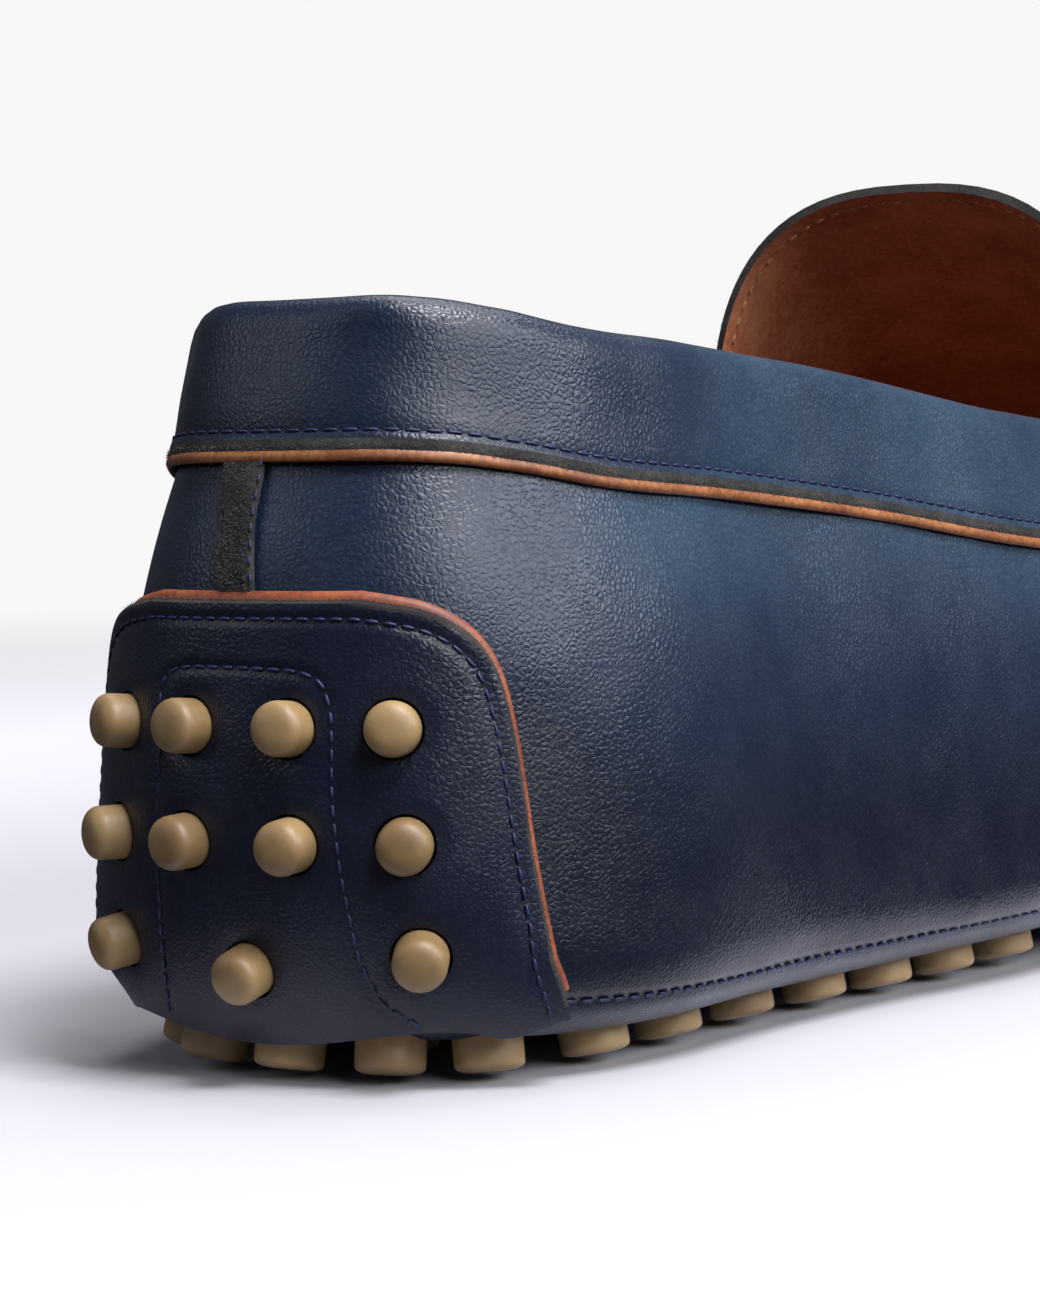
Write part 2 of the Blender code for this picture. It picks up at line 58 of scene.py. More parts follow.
# along the length, heel widths, ball widths, shift of the middle in ball widths
PLAN = (
    (0.00, 1.00, 0.00, 0.000),
    (0.16, 1.00, 0.00, 0.004),
    (0.25, 0.96, 0.06, 0.010),
    (0.36, 0.68, 0.31, 0.028),
    (0.46, 0.38, 0.58, 0.024),
    (0.57, 0.14, 0.83, 0.010),
    (0.65, 0.04, 0.95, 0.000),
    (0.73, 0.00, 1.00, -0.025),
    (0.82, 0.00, 1.00, -0.055),
    (0.91, 0.00, 0.98, -0.085),
    (1.00, 0.00, 0.96, -0.105),
)

# along the length, height of the collar or moccasin seam in back heights,
# height of the leather's underside, height of the widest line, inset of the
# top, turn of the leather under the foot
SIDE = (
    (0.000, 1.002, 4.4, 28.0, 9.7, 6.3),
    (0.020, 1.004, 4.4, 22.0, 9.7, 6.3),
    (0.045, 0.988, 4.3, 13.5, 9.7, 6.3),
    (0.088, 0.963, 4.1, 12.2, 9.5, 6.6),
    (0.160, 0.944, 4.0, 11.8, 8.8, 7.2),
    (0.250, 0.911, 4.0, 11.8, 8.5, 7.8),
    (0.350, 0.862, 4.3, 12.2, 9.6, 8.8),
    (0.440, 0.832, 4.6, 12.8, 11.3, 9.8),
    (0.530, 0.800, 4.4, 12.8, 13.8, 10.3),
    (0.620, 0.722, 4.0, 12.8, 15.8, 10.5),
    (0.710, 0.645, 4.0, 12.8, 17.6, 10.5),
    (0.800, 0.578, 4.7, 14.2, 19.2, 11.0),
    (0.900, 0.532, 7.8, 17.5, 20.0, 12.0),
    (1.000, 0.510, 13.1, 22.0, 20.0, 13.0),
)

# along the length, rise of the apron's middle over its seam, squareness of its arch
APRON = (
    (0.480, 32.5, 2.6),
    (0.530, 28.8, 2.45),
    (0.600, 22.5, 2.25),
    (0.680, 16.0, 2.2),
    (0.760, 10.5, 2.1),
    (0.840, 6.4, 2.0),
    (0.910, 3.2, 2.0),
    (1.000, 0.6, 2.0),
)

# height, half width of the heel patch along the girth
PATCH = (
    (3.2, 31.5),
    (7.6, 30.6),
    (12.4, 29.3),
    (21.8, 27.6),
    (33.4, 26.1),
    (38.5, 25.0),
    (41.5, 23.5),
    (43.8, 21.0),
    (45.4, 17.3),
    (46.3, 12.0),
)

# height, distance along the girth from the middle of the heel
HEEL_STUDS = (
    (34.4, -15.1), (34.4, -5.4), (34.4, 5.4), (34.4, 15.1),
    (23.8, -16.1), (23.8, -5.7), (23.8, 5.7), (23.8, 16.1),
    (13.6, -17.4), (12.0, 0.0), (13.6, 17.4),
)

# forwards of the stud under the middle of the heel and across from it, in heel widths
HEEL_INNER_STUDS = ((-0.221, 0.0), (0.0, -0.197), (0.0, 0.0), (0.0, 0.197), (0.252, 0.0))

# forwards of the stud under the ball and across from it, in ball widths
BALL_AT = LENGTH * 187 / 284
BALL_INNER_STUDS = (
    (-0.196, -0.124), (-0.196, 0.124), (0.0, -0.237), (0.0, 0.0), (0.0, 0.237),
    (0.196, -0.124), (0.196, 0.124), (0.402, 0.0),
)

# distance along the girth from the middle of the heel, of the studs round its edge
SIDE_STUDS = (12.8, 25.8, 43.9, 59.0, 73.0, 86.5, 98.8, 111.5, 125.5)
FRONT_STUDS = 0.535 * LENGTH

# where the upper is sewn to the bottom, as wall()'s v, and where the collar gives way to the apron
SEAM_V = -0.40
THROAT_Y = 139.0

# thicknesses of the leather, and the patch's and footbed's faces over what lies under them
WALL, APRON_SKIN, BOTTOM_SKIN = 2.2, 2.0, 1.6
PATCH_INSIDE, PATCH_TOP = 1.25, 2.4
FOOTBED_UNDER, FOOTBED_TOP = 3.8, 5.8

# the studs under the shoe, those of the heel patch, and the gap round them in the leather
STUD_RADIUS, STUD_TILT = 3.45, math.radians(13)
HEEL_STUD_RADIUS = 2.65
HEEL_STUD_ROOT, HEEL_STUD_TIP = 0.6, 5.7
STUD_GAP = 0.3

# the sharpest turn of a surface that is still shaded smooth
SMOOTH_TO = math.radians(42)


def smooth(t):
    """0 up to t=0, 1 from t=1, and an even slope between."""
    t = np.clip(t, 0.0, 1.0)
    return t * t * (3 - 2 * t)


class Curve:
    """A column of a table as a curve that never overshoots its points."""

    def __init__(self, table, column):
        self.x = np.array([row[0] for row in table], float)
        self.y = np.array([row[column] for row in table], float)
        self.step = np.diff(self.x)
        rise = np.diff(self.y) / self.step
        before, after = rise[:-1], rise[1:]
        w1 = 2 * self.step[1:] + self.step[:-1]
        w2 = self.step[1:] + 2 * self.step[:-1]
        with np.errstate(divide="ignore", invalid="ignore"):
            mean = (w1 + w2) / (w1 / before + w2 / after)
        self.slope = np.concatenate([rise[:1], np.where(before * after <= 0, 0.0, mean), rise[-1:]])

    def __call__(self, t):
        t = np.clip(t, self.x[0], self.x[-1])
        i = np.clip(np.searchsorted(self.x, t, side="right") - 1, 0, len(self.step) - 1)
        h = self.step[i]
        s = (t - self.x[i]) / h
        return (
            (2 * s**3 - 3 * s**2 + 1) * self.y[i]
            + (s**3 - 2 * s**2 + s) * h * self.slope[i]
            + (3 * s**2 - 2 * s**3) * self.y[i + 1]
            + (s**3 - s**2) * h * self.slope[i + 1]
        )


heel_share, ball_share, shift_share = (Curve(PLAN, c) for c in (1, 2, 3))
top_share, floor_z, wide_z, top_inset, under_turn = (Curve(SIDE, c) for c in (1, 2, 3, 4, 5))
apron_rise, apron_square = (Curve(APRON, c) for c in (1, 2))
patch_half = Curve(PATCH, 1)


def outline():
    """The widest line seen from above, from the heel round the outer side to the toe and back."""
    y = LENGTH * (1 - np.cos(np.pi * np.arange(901) / 900)) / 2
    s = y / LENGTH
    half = (HEEL_WIDTH * heel_share(s) + BALL_WIDTH * ball_share(s)) / 2
    heel = np.maximum(1 - y / HEEL_CAP, 0)
    toe = np.maximum(1 - (LENGTH - y) / TOE_CAP, 0)
    half *= np.maximum(1 - heel**HEEL_SQUARE, 0) ** (1 / HEEL_SQUARE)
    half *= np.maximum(1 - toe**TOE_SQUARE, 0) ** (1 / TOE_SQUARE)
    middle = BALL_WIDTH * shift_share(s)
    outer = np.stack([middle + half, y], 1)
    inner = np.stack([middle - half, y], 1)
    loop = np.concatenate([outer, inner[-2::-1]])
    run = np.concatenate([[0], np.cumsum(np.linalg.norm(np.diff(loop, axis=0), axis=1))])
    return loop, run


LOOP, RUN = outline()
GIRTH = float(RUN[-1])
TOE_A = float(RUN[900])


def plan(a):
    """Point of the widest line, seen from above, at a distance along the girth."""
    a = np.mod(a, GIRTH)
    return np.stack([np.interp(a, RUN, LOOP[:, 0]), np.interp(a, RUN, LOOP[:, 1])], -1)


def plan_out(a):
    """The level way out of the shoe there."""
    d = plan(a + 1.0) - plan(a - 1.0)
    d /= np.linalg.norm(d, axis=-1, keepdims=True)
    return np.stack([d[..., 1], -d[..., 0]], -1)


def share(a):
    """How far along the length a place on the girth lies, from 0 to 1."""
    return plan(a)[..., 1] / LENGTH


def girth_at(y, outer=True):
    """Distance along the girth to the given y, negative on the inner side."""
    lo, hi = 0.0, TOE_A
    for _ in range(40):
        mid = (lo + hi) / 2
        if plan(mid if outer else -mid)[1] < y:
            lo = mid
        else:
            hi = mid
    return lo if outer else -lo


def lean(v, s):
    """How far the side has leant in at height v of 0 to 1: an S at the heel, a bow in front."""
    heel = 0.5 * v**1.2 + 0.5 * smooth((v - 0.4) / 0.55)
    k = smooth((s - 0.25) / 0.3)
    return heel * (1 - k) + v**1.8 * k


def low_wide(p, out):
    """Heights of the leather's underside, where the turn ends, and of the widest line."""
    s = p[..., 1] / LENGTH
    return floor_z((p[..., 1] - out[..., 1] * under_turn(s)) / LENGTH), wide_z(s)


def wall(a, v, lift=0.0):
    """Point of the last's side. v is 0 on the widest line, 1 at the top and -1 under the foot."""
    a, v, lift = np.broadcast_arrays(*(np.asarray(x, float) for x in (a, v, lift)))
    if np.any(lift):
        da = wall(a + 0.5, v) - wall(a - 0.5, v)
        dv = wall(a, v + 0.02) - wall(a, v - 0.02)
        out = np.cross(da, dv)
        return wall(a, v) + out * (lift / np.linalg.norm(out, axis=-1))[..., None]
    p, out = plan(a), plan_out(a)
    s = p[..., 1] / LENGTH
    low, wide = low_wide(p, out)
    up = np.maximum(v, 0)
    turn = np.clip(-v, 0, 1) * math.pi / 2
    r = -top_inset(s) * lean(up, s) - under_turn(s) * (1 - np.cos(turn))
    z = wide + up * (BACK_HEIGHT * top_share(s) - wide) - (wide - low) * np.sin(turn)
    return np.stack([p[..., 0] + out[..., 0] * r, p[..., 1] + out[..., 1] * r, z], -1)


def v_at(a, z):
    """wall()'s v at a height."""
    p = plan(a)
    low, wide = low_wide(p, plan_out(a))
    above = (z - wide) / (BACK_HEIGHT * top_share(p[..., 1] / LENGTH) - wide)
    below = -np.arcsin(np.clip((wide - z) / (wide - low), -1, 1)) * 2 / math.pi
    return np.where(z > wide, above, below)


def side_height(a):
    """Height of the side from its widest line to its top."""
    s = share(a)
    return BACK_HEIGHT * top_share(s) - wide_z(s)


def below_top(a, d, lift=0.0):
    """Point d under the crest. The crest eases down round both corners of the heel."""
    eased_by = 0.42 * np.exp(-(((np.abs(a) - 22) / 6.5) ** 2))
    return wall(a, 1 - (d + eased_by) / side_height(a), lift)


def underside(a, r):
    """Point of the leather under the foot, r inwards from the widest line."""
    p, out = plan(a), plan_out(a)
    q, turn = p - out * np.asarray(r)[..., None], under_turn(p[..., 1] / LENGTH)
    low, wide = low_wide(p, out)
    flat = floor_z(q[..., 1] / LENGTH)
    round_z = wide - (wide - low) * np.sqrt(1 - np.clip(1 - r / turn, 0, 1) ** 2)
    return np.concatenate([q, np.where(r >= turn, flat, round_z)[..., None]], -1)


def patch_at(a, z, lift):
    """The patch ends on the turn under the heel, so heights near its lower edge become turns."""
    turns_at, lowest = 13.0, PATCH[0][0]
    a, z = np.broadcast_arrays(np.asarray(a, float), np.asarray(z, float))
    v = v_at(a, np.maximum(z, turns_at))
    end = -0.8 + 0.18 * smooth(np.abs(a) / 26) + 0.2 * smooth((np.abs(a) - 25) / 6.5)
    v = np.where(z < turns_at, v + (end - v) * (turns_at - z) / (turns_at - lowest), v)
    return wall(a, v, lift)


def waves(points, length, seed):
    """Smooth uneven waves of about that length in millimetres, from -1 to 1, the same each run."""
    rng = np.random.default_rng(seed)
    total = np.zeros(points.shape[:-1])
    for _ in range(7):
        way = rng.normal(size=3)
        way /= np.linalg.norm(way)
        per_wave = 2 * math.pi / (length * rng.uniform(0.7, 1.5))
        total += np.sin(points @ way * per_wave + rng.uniform(0, 6.28))
    return total / 4


# ---------------------------------------------------------------- finishes


def linear(hex_colour):
    """An sRGB hex value as linear red, green, blue and 1."""
    parts = [int(hex_colour[i : i + 2], 16) / 255 for i in (1, 3, 5)]
    return tuple(c / 12.92 if c <= 0.04045 else ((c + 0.055) / 1.055) ** 2.4 for c in parts) + (1.0,)


def per_metre(millimetres):
    """A pattern's scale on Object coordinates, from the real size of what repeats in it."""
    return 1000 / millimetres


def add(tree, kind, inputs=(), **settings):
    """A node with its settings, its inputs linked where a socket is given and set otherwise."""
    made = tree.nodes.new(kind)
    for key, value in settings.items():
        setattr(made, key, value)
    for key, value in dict(inputs).items():
        if isinstance(value, bpy.types.NodeSocket):
            tree.links.new(value, made.inputs[key])
        else:
            made.inputs[key].default_value = value
    return made


def finish_of(name, roughness, **sockets):
    """A new material and its tree, its shader's plain sockets set."""
    made = bpy.data.materials.new(name)
    made.use_nodes = True
    shader = made.node_tree.nodes["Principled BSDF"]
    shader.inputs["Roughness"].default_value = roughness
    for key, value in sockets.items():
        shader.inputs[key.replace("_", " ")].default_value = value
    return made, made.node_tree, shader


# sockets of a colour mix: its factor, its two colours and its result
MIX_BY, MIX_A, MIX_B, MIXED = 0, 6, 7, 2


def between(tree, amount, start, end, first, last):
    """A colour that goes from the first to the last while the amount goes from start to end."""
    part = add(tree, "ShaderNodeMapRange", {
        "Value": amount, "From Min": start, "From Max": end,
    }, interpolation_type="SMOOTHSTEP").outputs[0]
    return add(tree, "ShaderNodeMix", {
        MIX_BY: part, MIX_A: first, MIX_B: last,
    }, data_type="RGBA").outputs[MIXED]


def calf(name, dark, middle, light, deep, grain=0.6, roughness=0.34):
    """Calf leather, dyed through and burnished with wax. grain and deep are in millimetres.

    Its pebbles are about as coarse as on the real hide. The attribute each piece carries says how far a place
    is made lighter: partly for rubbing, partly as painted light falling from above, so that low places are
    painted dark as shade. The hollows of the grain are painted darker too, as shade.
    """
    made, tree, shader = finish_of(name, roughness, Specular_IOR_Level=0.42)
    place = add(tree, "ShaderNodeTexCoord").outputs["Object"]

    # colour: three dyes, picked by each place's painted light and burnish and by an uneven cloud about 22 mm
    # across
    lit_and_burnished = add(tree, "ShaderNodeAttribute", attribute_name="lit_and_burnished").outputs["Fac"]
    cloud = add(tree, "ShaderNodeTexNoise", {
        "Vector": place, "Scale": per_metre(22.0), "Detail": 4.0, "Roughness": 0.55,
    }).outputs["Fac"]
    drift = add(tree, "ShaderNodeMath", {0: cloud, 1: 0.5}, operation="SUBTRACT").outputs[0]
    rubbed_and_lit = add(tree, "ShaderNodeMath", {0: drift, 1: 0.35, 2: lit_and_burnished}, operation="MULTIPLY_ADD").outputs[0]
    lower = between(tree, rubbed_and_lit, 0.0, 0.5, linear(dark), linear(middle))
    dyed = between(tree, rubbed_and_lit, 0.5, 1.0, lower, linear(light))

    # grain: rounded cells, their outlines made uneven, on a faint swelling of 2.6 mm
    wobble = add(tree, "ShaderNodeTexNoise", {
        "Vector": place, "Scale": per_metre(grain * 2.4), "Detail": 2.0,
    }).outputs["Color"]
    moved = add(tree, "ShaderNodeVectorMath", {
        0: wobble, 1: (grain / 1000 * 0.6,) * 3, 2: place,
    }, operation="MULTIPLY_ADD").outputs[0]
    cells = add(tree, "ShaderNodeTexVoronoi", {
        "Vector": moved, "Scale": per_metre(grain),
    }, feature="DISTANCE_TO_EDGE").outputs["Distance"]
    pebbles = add(tree, "ShaderNodeMath", {0: cells, 1: 0.8}, operation="POWER").outputs[0]
    swelling = add(tree, "ShaderNodeTexNoise", {
        "Vector": place, "Scale": per_metre(2.6), "Detail": 3.0, "Roughness": 0.55,
    }).outputs["Fac"]
    height = add(tree, "ShaderNodeMath", {0: swelling, 1: 0.5, 2: pebbles}, operation="MULTIPLY_ADD").outputs[0]
    bump = add(tree, "ShaderNodeBump", {"Strength": 1.0, "Distance": deep / 1000, "Height": height})
    # painted shade: the hollows between the pebbles are painted darker, as shade falls there
    valley_shade = add(tree, "ShaderNodeMapRange", {
        "Value": cells, "From Min": 0.0, "From Max": 0.25, "To Min": 0.68, "To Max": 1.0,
    }, interpolation_type="SMOOTHSTEP").outputs[0]
    tint = add(tree, "ShaderNodeVectorMath", {0: dyed, "Scale": valley_shade}, operation="SCALE").outputs[0]

    # the wax is thicker in some places than in others, about 7 mm apart
    wax = add(tree, "ShaderNodeTexNoise", {
        "Vector": place, "Scale": per_metre(7.0), "Detail": 3.0, "Roughness": 0.55,
    }).outputs["Fac"]
    satin = add(tree, "ShaderNodeMapRange", {
        "Value": wax, "From Min": 0.3, "From Max": 0.7,
        "To Min": roughness - 0.04, "To Max": roughness + 0.07,
    }, interpolation_type="SMOOTHSTEP").outputs[0]

    tree.links.new(tint, shader.inputs["Base Color"])
    tree.links.new(bump.outputs[0], shader.inputs["Normal"])
    tree.links.new(satin, shader.inputs["Roughness"])
    return made


def plain_leather(name, dark, light, nap, deep, roughness):
    """Leather without a waxed grain, cut, brushed or rolled. nap and deep are in millimetres."""
    made, tree, shader = finish_of(name, roughness)
    place = add(tree, "ShaderNodeTexCoord").outputs["Object"]
    fine = add(tree, "ShaderNodeTexNoise", {
        "Vector": place, "Scale": per_metre(nap), "Detail": 5.0, "Roughness": 0.7,
    }).outputs["Fac"]
    cloud = add(tree, "ShaderNodeTexNoise", {
        "Vector": place, "Scale": per_metre(nap * 14), "Detail": 3.0, "Roughness": 0.55,
    }).outputs["Fac"]
    both = add(tree, "ShaderNodeMath", {0: fine, 1: cloud}, operation="ADD").outputs[0]
    colour = between(tree, both, 0.75, 1.3, linear(dark), linear(light))
    bump = add(tree, "ShaderNodeBump", {"Strength": 1.0, "Distance": deep / 1000, "Height": fine})
    tree.links.new(colour, shader.inputs["Base Color"])
    tree.links.new(bump.outputs[0], shader.inputs["Normal"])
    return made


def gum_rubber(name, dark, light):
    """Moulded rubber: light goes a little way into it, its tone clouds over 9 mm, its skin over 0.9 mm."""
    made, tree, shader = finish_of(name, 0.48, IOR=1.52, Subsurface_Weight=0.35, Subsurface_Scale=0.0015)
    shader.inputs["Subsurface Radius"].default_value = (1.0, 0.6, 0.3)
    place = add(tree, "ShaderNodeTexCoord").outputs["Object"]
    cloud, skin_noise = (
        add(tree, "ShaderNodeTexNoise", {
            "Vector": place, "Scale": per_metre(size), "Detail": 4.0, "Roughness": 0.55,
        }).outputs["Fac"]
        for size in (9.0, 0.9)
    )
    colour = between(tree, cloud, 0.3, 0.7, linear(dark), linear(light))
    bump = add(tree, "ShaderNodeBump", {"Strength": 1.0, "Distance": 0.03 / 1000, "Height": skin_noise})
    tree.links.new(colour, shader.inputs["Base Color"])
    tree.links.new(bump.outputs[0], shader.inputs["Normal"])
    return made


def thread(name, dark, light):
    """Sewing thread. Its twist of 0.2 mm is drawn as a mottle of 0.5 mm, as coarse as it needs to show."""
    made, tree, shader = finish_of(name, 0.55)
    place = add(tree, "ShaderNodeTexCoord").outputs["Object"]
    twist = add(tree, "ShaderNodeTexNoise", {
        "Vector": place, "Scale": per_metre(0.5), "Detail": 3.0, "Roughness": 0.55,
    }).outputs["Fac"]
    colour = between(tree, twist, 0.35, 0.65, linear(dark), linear(light))
    tree.links.new(colour, shader.inputs["Base Color"])
    return made


# full-grain calf, waxed and rubbed by hand: a satin sheen broken up by the grain, painted lighter blue for
# rubbing and for light falling from above, and nearly black where shade is painted, low down and round the heel
CALF = calf("burnished_navy_calf", "#070d1d", "#172438", "#374c5e", deep=0.075)
# the same calf dyed darker and pressed: a quieter grain, hardly lighter where it is rubbed
PATCH_CALF = calf("dark_navy_patch_calf", "#090c16", "#101628", "#1c2743", deep=0.065)
# aniline-dyed calf without wax: matt and warm, its colour cloudy from the dye
LINING = plain_leather("aniline_brown_lining", "#925337", "#b87a58", 0.8, 0.05, 0.62)
# dyed leather cut across: a felt of short fibres, quite matt, near black with grey tips
RAW_EDGE = plain_leather("raw_cut_leather_edge", "#0f0f10", "#37342f", 0.35, 0.14, 0.9)
# single fibres that stand off the cut: they catch more light, so they are greyer than it
LOOSE_FIBRE = plain_leather("loose_leather_fibre", "#2b2926", "#625d56", 0.4, 0.02, 0.9)
# thin tan leather rolled over, its edge rubbed smooth: a soft sheen along the roll
PATCH_EDGE = plain_leather("tan_piping_orange", "#6a2f18", "#99502c", 0.7, 0.02, 0.5)
COLLAR_EDGE = plain_leather("tan_piping_brown", "#6d3c1d", "#a56a3e", 0.7, 0.02, 0.5)
# amber gum rubber from a mould: satin and faintly see-through, so its edges look soft
GUM = gum_rubber("amber_gum_rubber", "#745c3a", "#947a50")
# bonded polyester thread: an even satin line without fuzz, told from the leather by its hue
BLUE_THREAD = thread("blue_thread", "#090e2a", "#141c4e")
TAN_THREAD = thread("tan_thread", "#86592f", "#bd8a55")
NAVY_THREAD = thread("navy_thread", "#10182c", "#22304c")

# ---------------------------------------------------------------- making meshes

# every visible piece and its slot, in the order in which they are made
KEPT = {}


def in_frame(points):
    """Points in millimetres from the back of the heel, as rows in the model's frame in metres."""
    points = np.asarray(points, float).reshape(-1, 3)
    return ((points - (0, REST_FROM_BACK, 0)) / 1000).tolist()


def linked(name, mesh):
    obj = bpy.data.objects.new(name, mesh)
    bpy.context.scene.collection.objects.link(obj)
    return obj


def baked(obj):
    """The object's mesh with its modifiers carried out."""
    bpy.context.view_layer.update()
    graph = bpy.context.evaluated_depsgraph_get()
    return bpy.data.meshes.new_from_object(obj.evaluated_get(graph), depsgraph=graph)


def piece(name, points, faces, finishes, slot, picks=None, lit_and_burnished=None):
    """A mesh in the model's frame, its faces turned outwards and its doubled points made one."""
    mesh = bpy.data.meshes.new(name)
    mesh.from_pydata(in_frame(points), [], faces)
    for finish in finishes:
        mesh.materials.append(finish)
    if picks is not None:
        mesh.polygons.foreach_set("material_index", picks)
    if lit_and_burnished is not None:
        made = mesh.attributes.new("lit_and_burnished", "FLOAT", "POINT")
        made.data.foreach_set("value", np.asarray(lit_and_burnished, np.float32).ravel())
    obj = linked(name, mesh)
    tidy_mesh(obj)
    KEPT[obj] = slot
    return obj


def tidy_mesh(obj, merge=1e-6):
    """Merges doubled points, turns the faces outwards and shades them smooth up to sharp turns."""
    work = bmesh.new()
    work.from_mesh(obj.data)
    bmesh.ops.remove_doubles(work, verts=work.verts, dist=merge)
    bmesh.ops.dissolve_degenerate(work, edges=work.edges, dist=merge)
    bmesh.ops.recalc_face_normals(work, faces=work.faces)
    if work.calc_volume(signed=True) < 0:
        bmesh.ops.reverse_faces(work, faces=work.faces)
    work.to_mesh(obj.data)
    work.free()
    obj.data.polygons.foreach_set("use_smooth", [True] * len(obj.data.polygons))
    obj.data.set_sharp_from_angle(angle=SMOOTH_TO)


def skin(name, outside, inside, finishes, slot, ring=False, lit_and_burnished=0.5, cut=False):
    """A closed wall between two grids of points: an outer face, an inner face and its edges.

    The finishes are those of the three, in this order. cut marks the points of the outer face
    where the leather's raw edge shows.
    """
    n, m = outside.shape[:2]
    cells = np.arange(n * m).reshape(n, m)
    lines = np.concatenate([cells, cells[:1]]) if ring else cells
    quads = np.stack([lines[:-1, :-1], lines[1:, :-1], lines[1:, 1:], lines[:-1, 1:]], -1).reshape(-1, 4)
    under = quads[:, ::-1] + n * m
    edges = [(lines[:, 0], False), (lines[:, -1], True)]
    if not ring:
        edges += [(cells[0], True), (cells[-1], False)]
    rims = []
    for line, turned in edges:
        rim = np.stack([line[:-1], line[:-1] + n * m, line[1:] + n * m, line[1:]], -1)
        rims.append(rim[:, ::-1] if turned else rim)
    rims = np.concatenate(rims)
    faces = np.concatenate([quads, under, rims]).tolist()
    raw = np.broadcast_to(cut, (n, m)).ravel()[quads].all(axis=1) * 2
    picks = raw.tolist() + [1] * len(under) + [2] * len(rims)
    points = np.concatenate([outside.reshape(-1, 3), inside.reshape(-1, 3)])
    tone = np.concatenate([np.broadcast_to(lit_and_burnished, (n, m)).ravel()] * 2)
    return piece(name, points, faces, finishes, slot, picks, tone)


def loft(name, sections, finishes, slot, bands=None, lit_and_burnished=0.5):
    """A closed section carried along a path, with closed ends.

    bands gives the number of a finish to each side of the section.
    """
    n, m = sections.shape[:2]
    cells = np.arange(n * m).reshape(n, m)
    around = np.concatenate([cells, cells[:, :1]], 1)
    quads = np.stack([around[:-1, :-1], around[:-1, 1:], around[1:, 1:], around[1:, :-1]], -1)
    bands = [0] * m if bands is None else bands
    picks = np.broadcast_to(bands, (n - 1, m)).ravel().tolist()
    faces = quads.reshape(-1, 4).tolist() + [cells[0].tolist()[::-1], cells[-1].tolist()]
    tone = np.broadcast_to(lit_and_burnished, (n, m))
    return piece(name, sections, faces, finishes, slot, picks + [0, 0], tone)


def geometry_tree(name, **sockets):
    """A new geometry tree with named inputs, and its input and output nodes."""
    tree = bpy.data.node_groups.new(name, "GeometryNodeTree")
    tree.interface.new_socket("Geometry", in_out="INPUT", socket_type="NodeSocketGeometry")
    for label, kind in sockets.items():
        tree.interface.new_socket(label, in_out="INPUT", socket_type="NodeSocket" + kind)
    tree.interface.new_socket("Geometry", in_out="OUTPUT", socket_type="NodeSocketGeometry")
    return tree, tree.nodes.new("NodeGroupInput").outputs, tree.nodes.new("NodeGroupOutput")


def finished(tree, last, finish, ends):
    """Ends a tree: instances made real, smooth, and given their finish."""
    real = add(tree, "GeometryNodeRealizeInstances", {0: last}).outputs[0]
    even = add(tree, "GeometryNodeSetShadeSmooth", {0: real, 2: True}).outputs[0]
    dressed = add(tree, "GeometryNodeSetMaterial", {"Geometry": even, "Material": finish}).outputs[0]
    tree.links.new(dressed, ends.inputs[0])


def stud_tree():
    """Puts a stud on each point, standing along the point's own axis."""
    tree, given, ends = geometry_tree("studs_on_points", Stud="Object", Finish="Material")
    shape = add(tree, "GeometryNodeObjectInfo", {"Object": given["Stud"]}).outputs["Geometry"]
    axis = add(tree, "GeometryNodeInputNamedAttribute", {"Name": "axis"}, data_type="FLOAT_VECTOR").outputs[0]
    turn = add(tree, "FunctionNodeAlignRotationToVector", {"Vector": axis}, axis="Z").outputs[0]
    points = add(tree, "GeometryNodeMeshToPoints", {"Mesh": given["Geometry"]}).outputs[0]
    set_out = add(tree, "GeometryNodeInstanceOnPoints", {
        "Points": points, "Instance": shape, "Rotation": turn,
    }).outputs[0]
    finished(tree, set_out, given["Finish"], ends)
    return tree


def stitch_tree():
    """Runs even stitches along a seam's line. A stitch is a slim bead sunk half into the leather."""
    tree, given, ends = geometry_tree(
        "stitches_on_line", Pitch="Float", Length="Float", Thickness="Float", Slant="Float", Finish="Material"
    )
    line = add(tree, "GeometryNodeMeshToCurve", {"Mesh": given["Geometry"]}).outputs[0]
    even = add(tree, "GeometryNodeResampleCurve", {
        "Curve": line, "Length": given["Pitch"],
    }, mode="LENGTH").outputs[0]
    bead = add(tree, "GeometryNodeMeshUVSphere", {"Segments": 8, "Rings": 6, "Radius": 0.5}).outputs[0]
    size = add(tree, "ShaderNodeCombineXYZ", {
        "X": given["Length"], "Y": given["Thickness"], "Z": given["Thickness"],
    }).outputs[0]
    along = add(tree, "GeometryNodeInputTangent").outputs[0]
    out = add(tree, "GeometryNodeInputNamedAttribute", {"Name": "out"}, data_type="FLOAT_VECTOR").outputs[0]
    turn = add(tree, "FunctionNodeAlignRotationToVector", {"Vector": along}, axis="X").outputs[0]
    turn = add(tree, "FunctionNodeAlignRotationToVector", {
        "Rotation": turn, "Vector": out,
    }, axis="Z", pivot_axis="X").outputs[0]
    slant = add(tree, "FunctionNodeAxisAngleToRotation", {
        "Axis": (0, 0, 1), "Angle": given["Slant"],
    }).outputs[0]
    turn = add(tree, "FunctionNodeRotateRotation", {
        "Rotation": turn, "Rotate By": slant,
    }, rotation_space="LOCAL").outputs[0]
    set_out = add(tree, "GeometryNodeInstanceOnPoints", {
        "Points": even, "Instance": bead, "Rotation": turn, "Scale": size,
    }).outputs[0]
    finished(tree, set_out, given["Finish"], ends)
    return tree


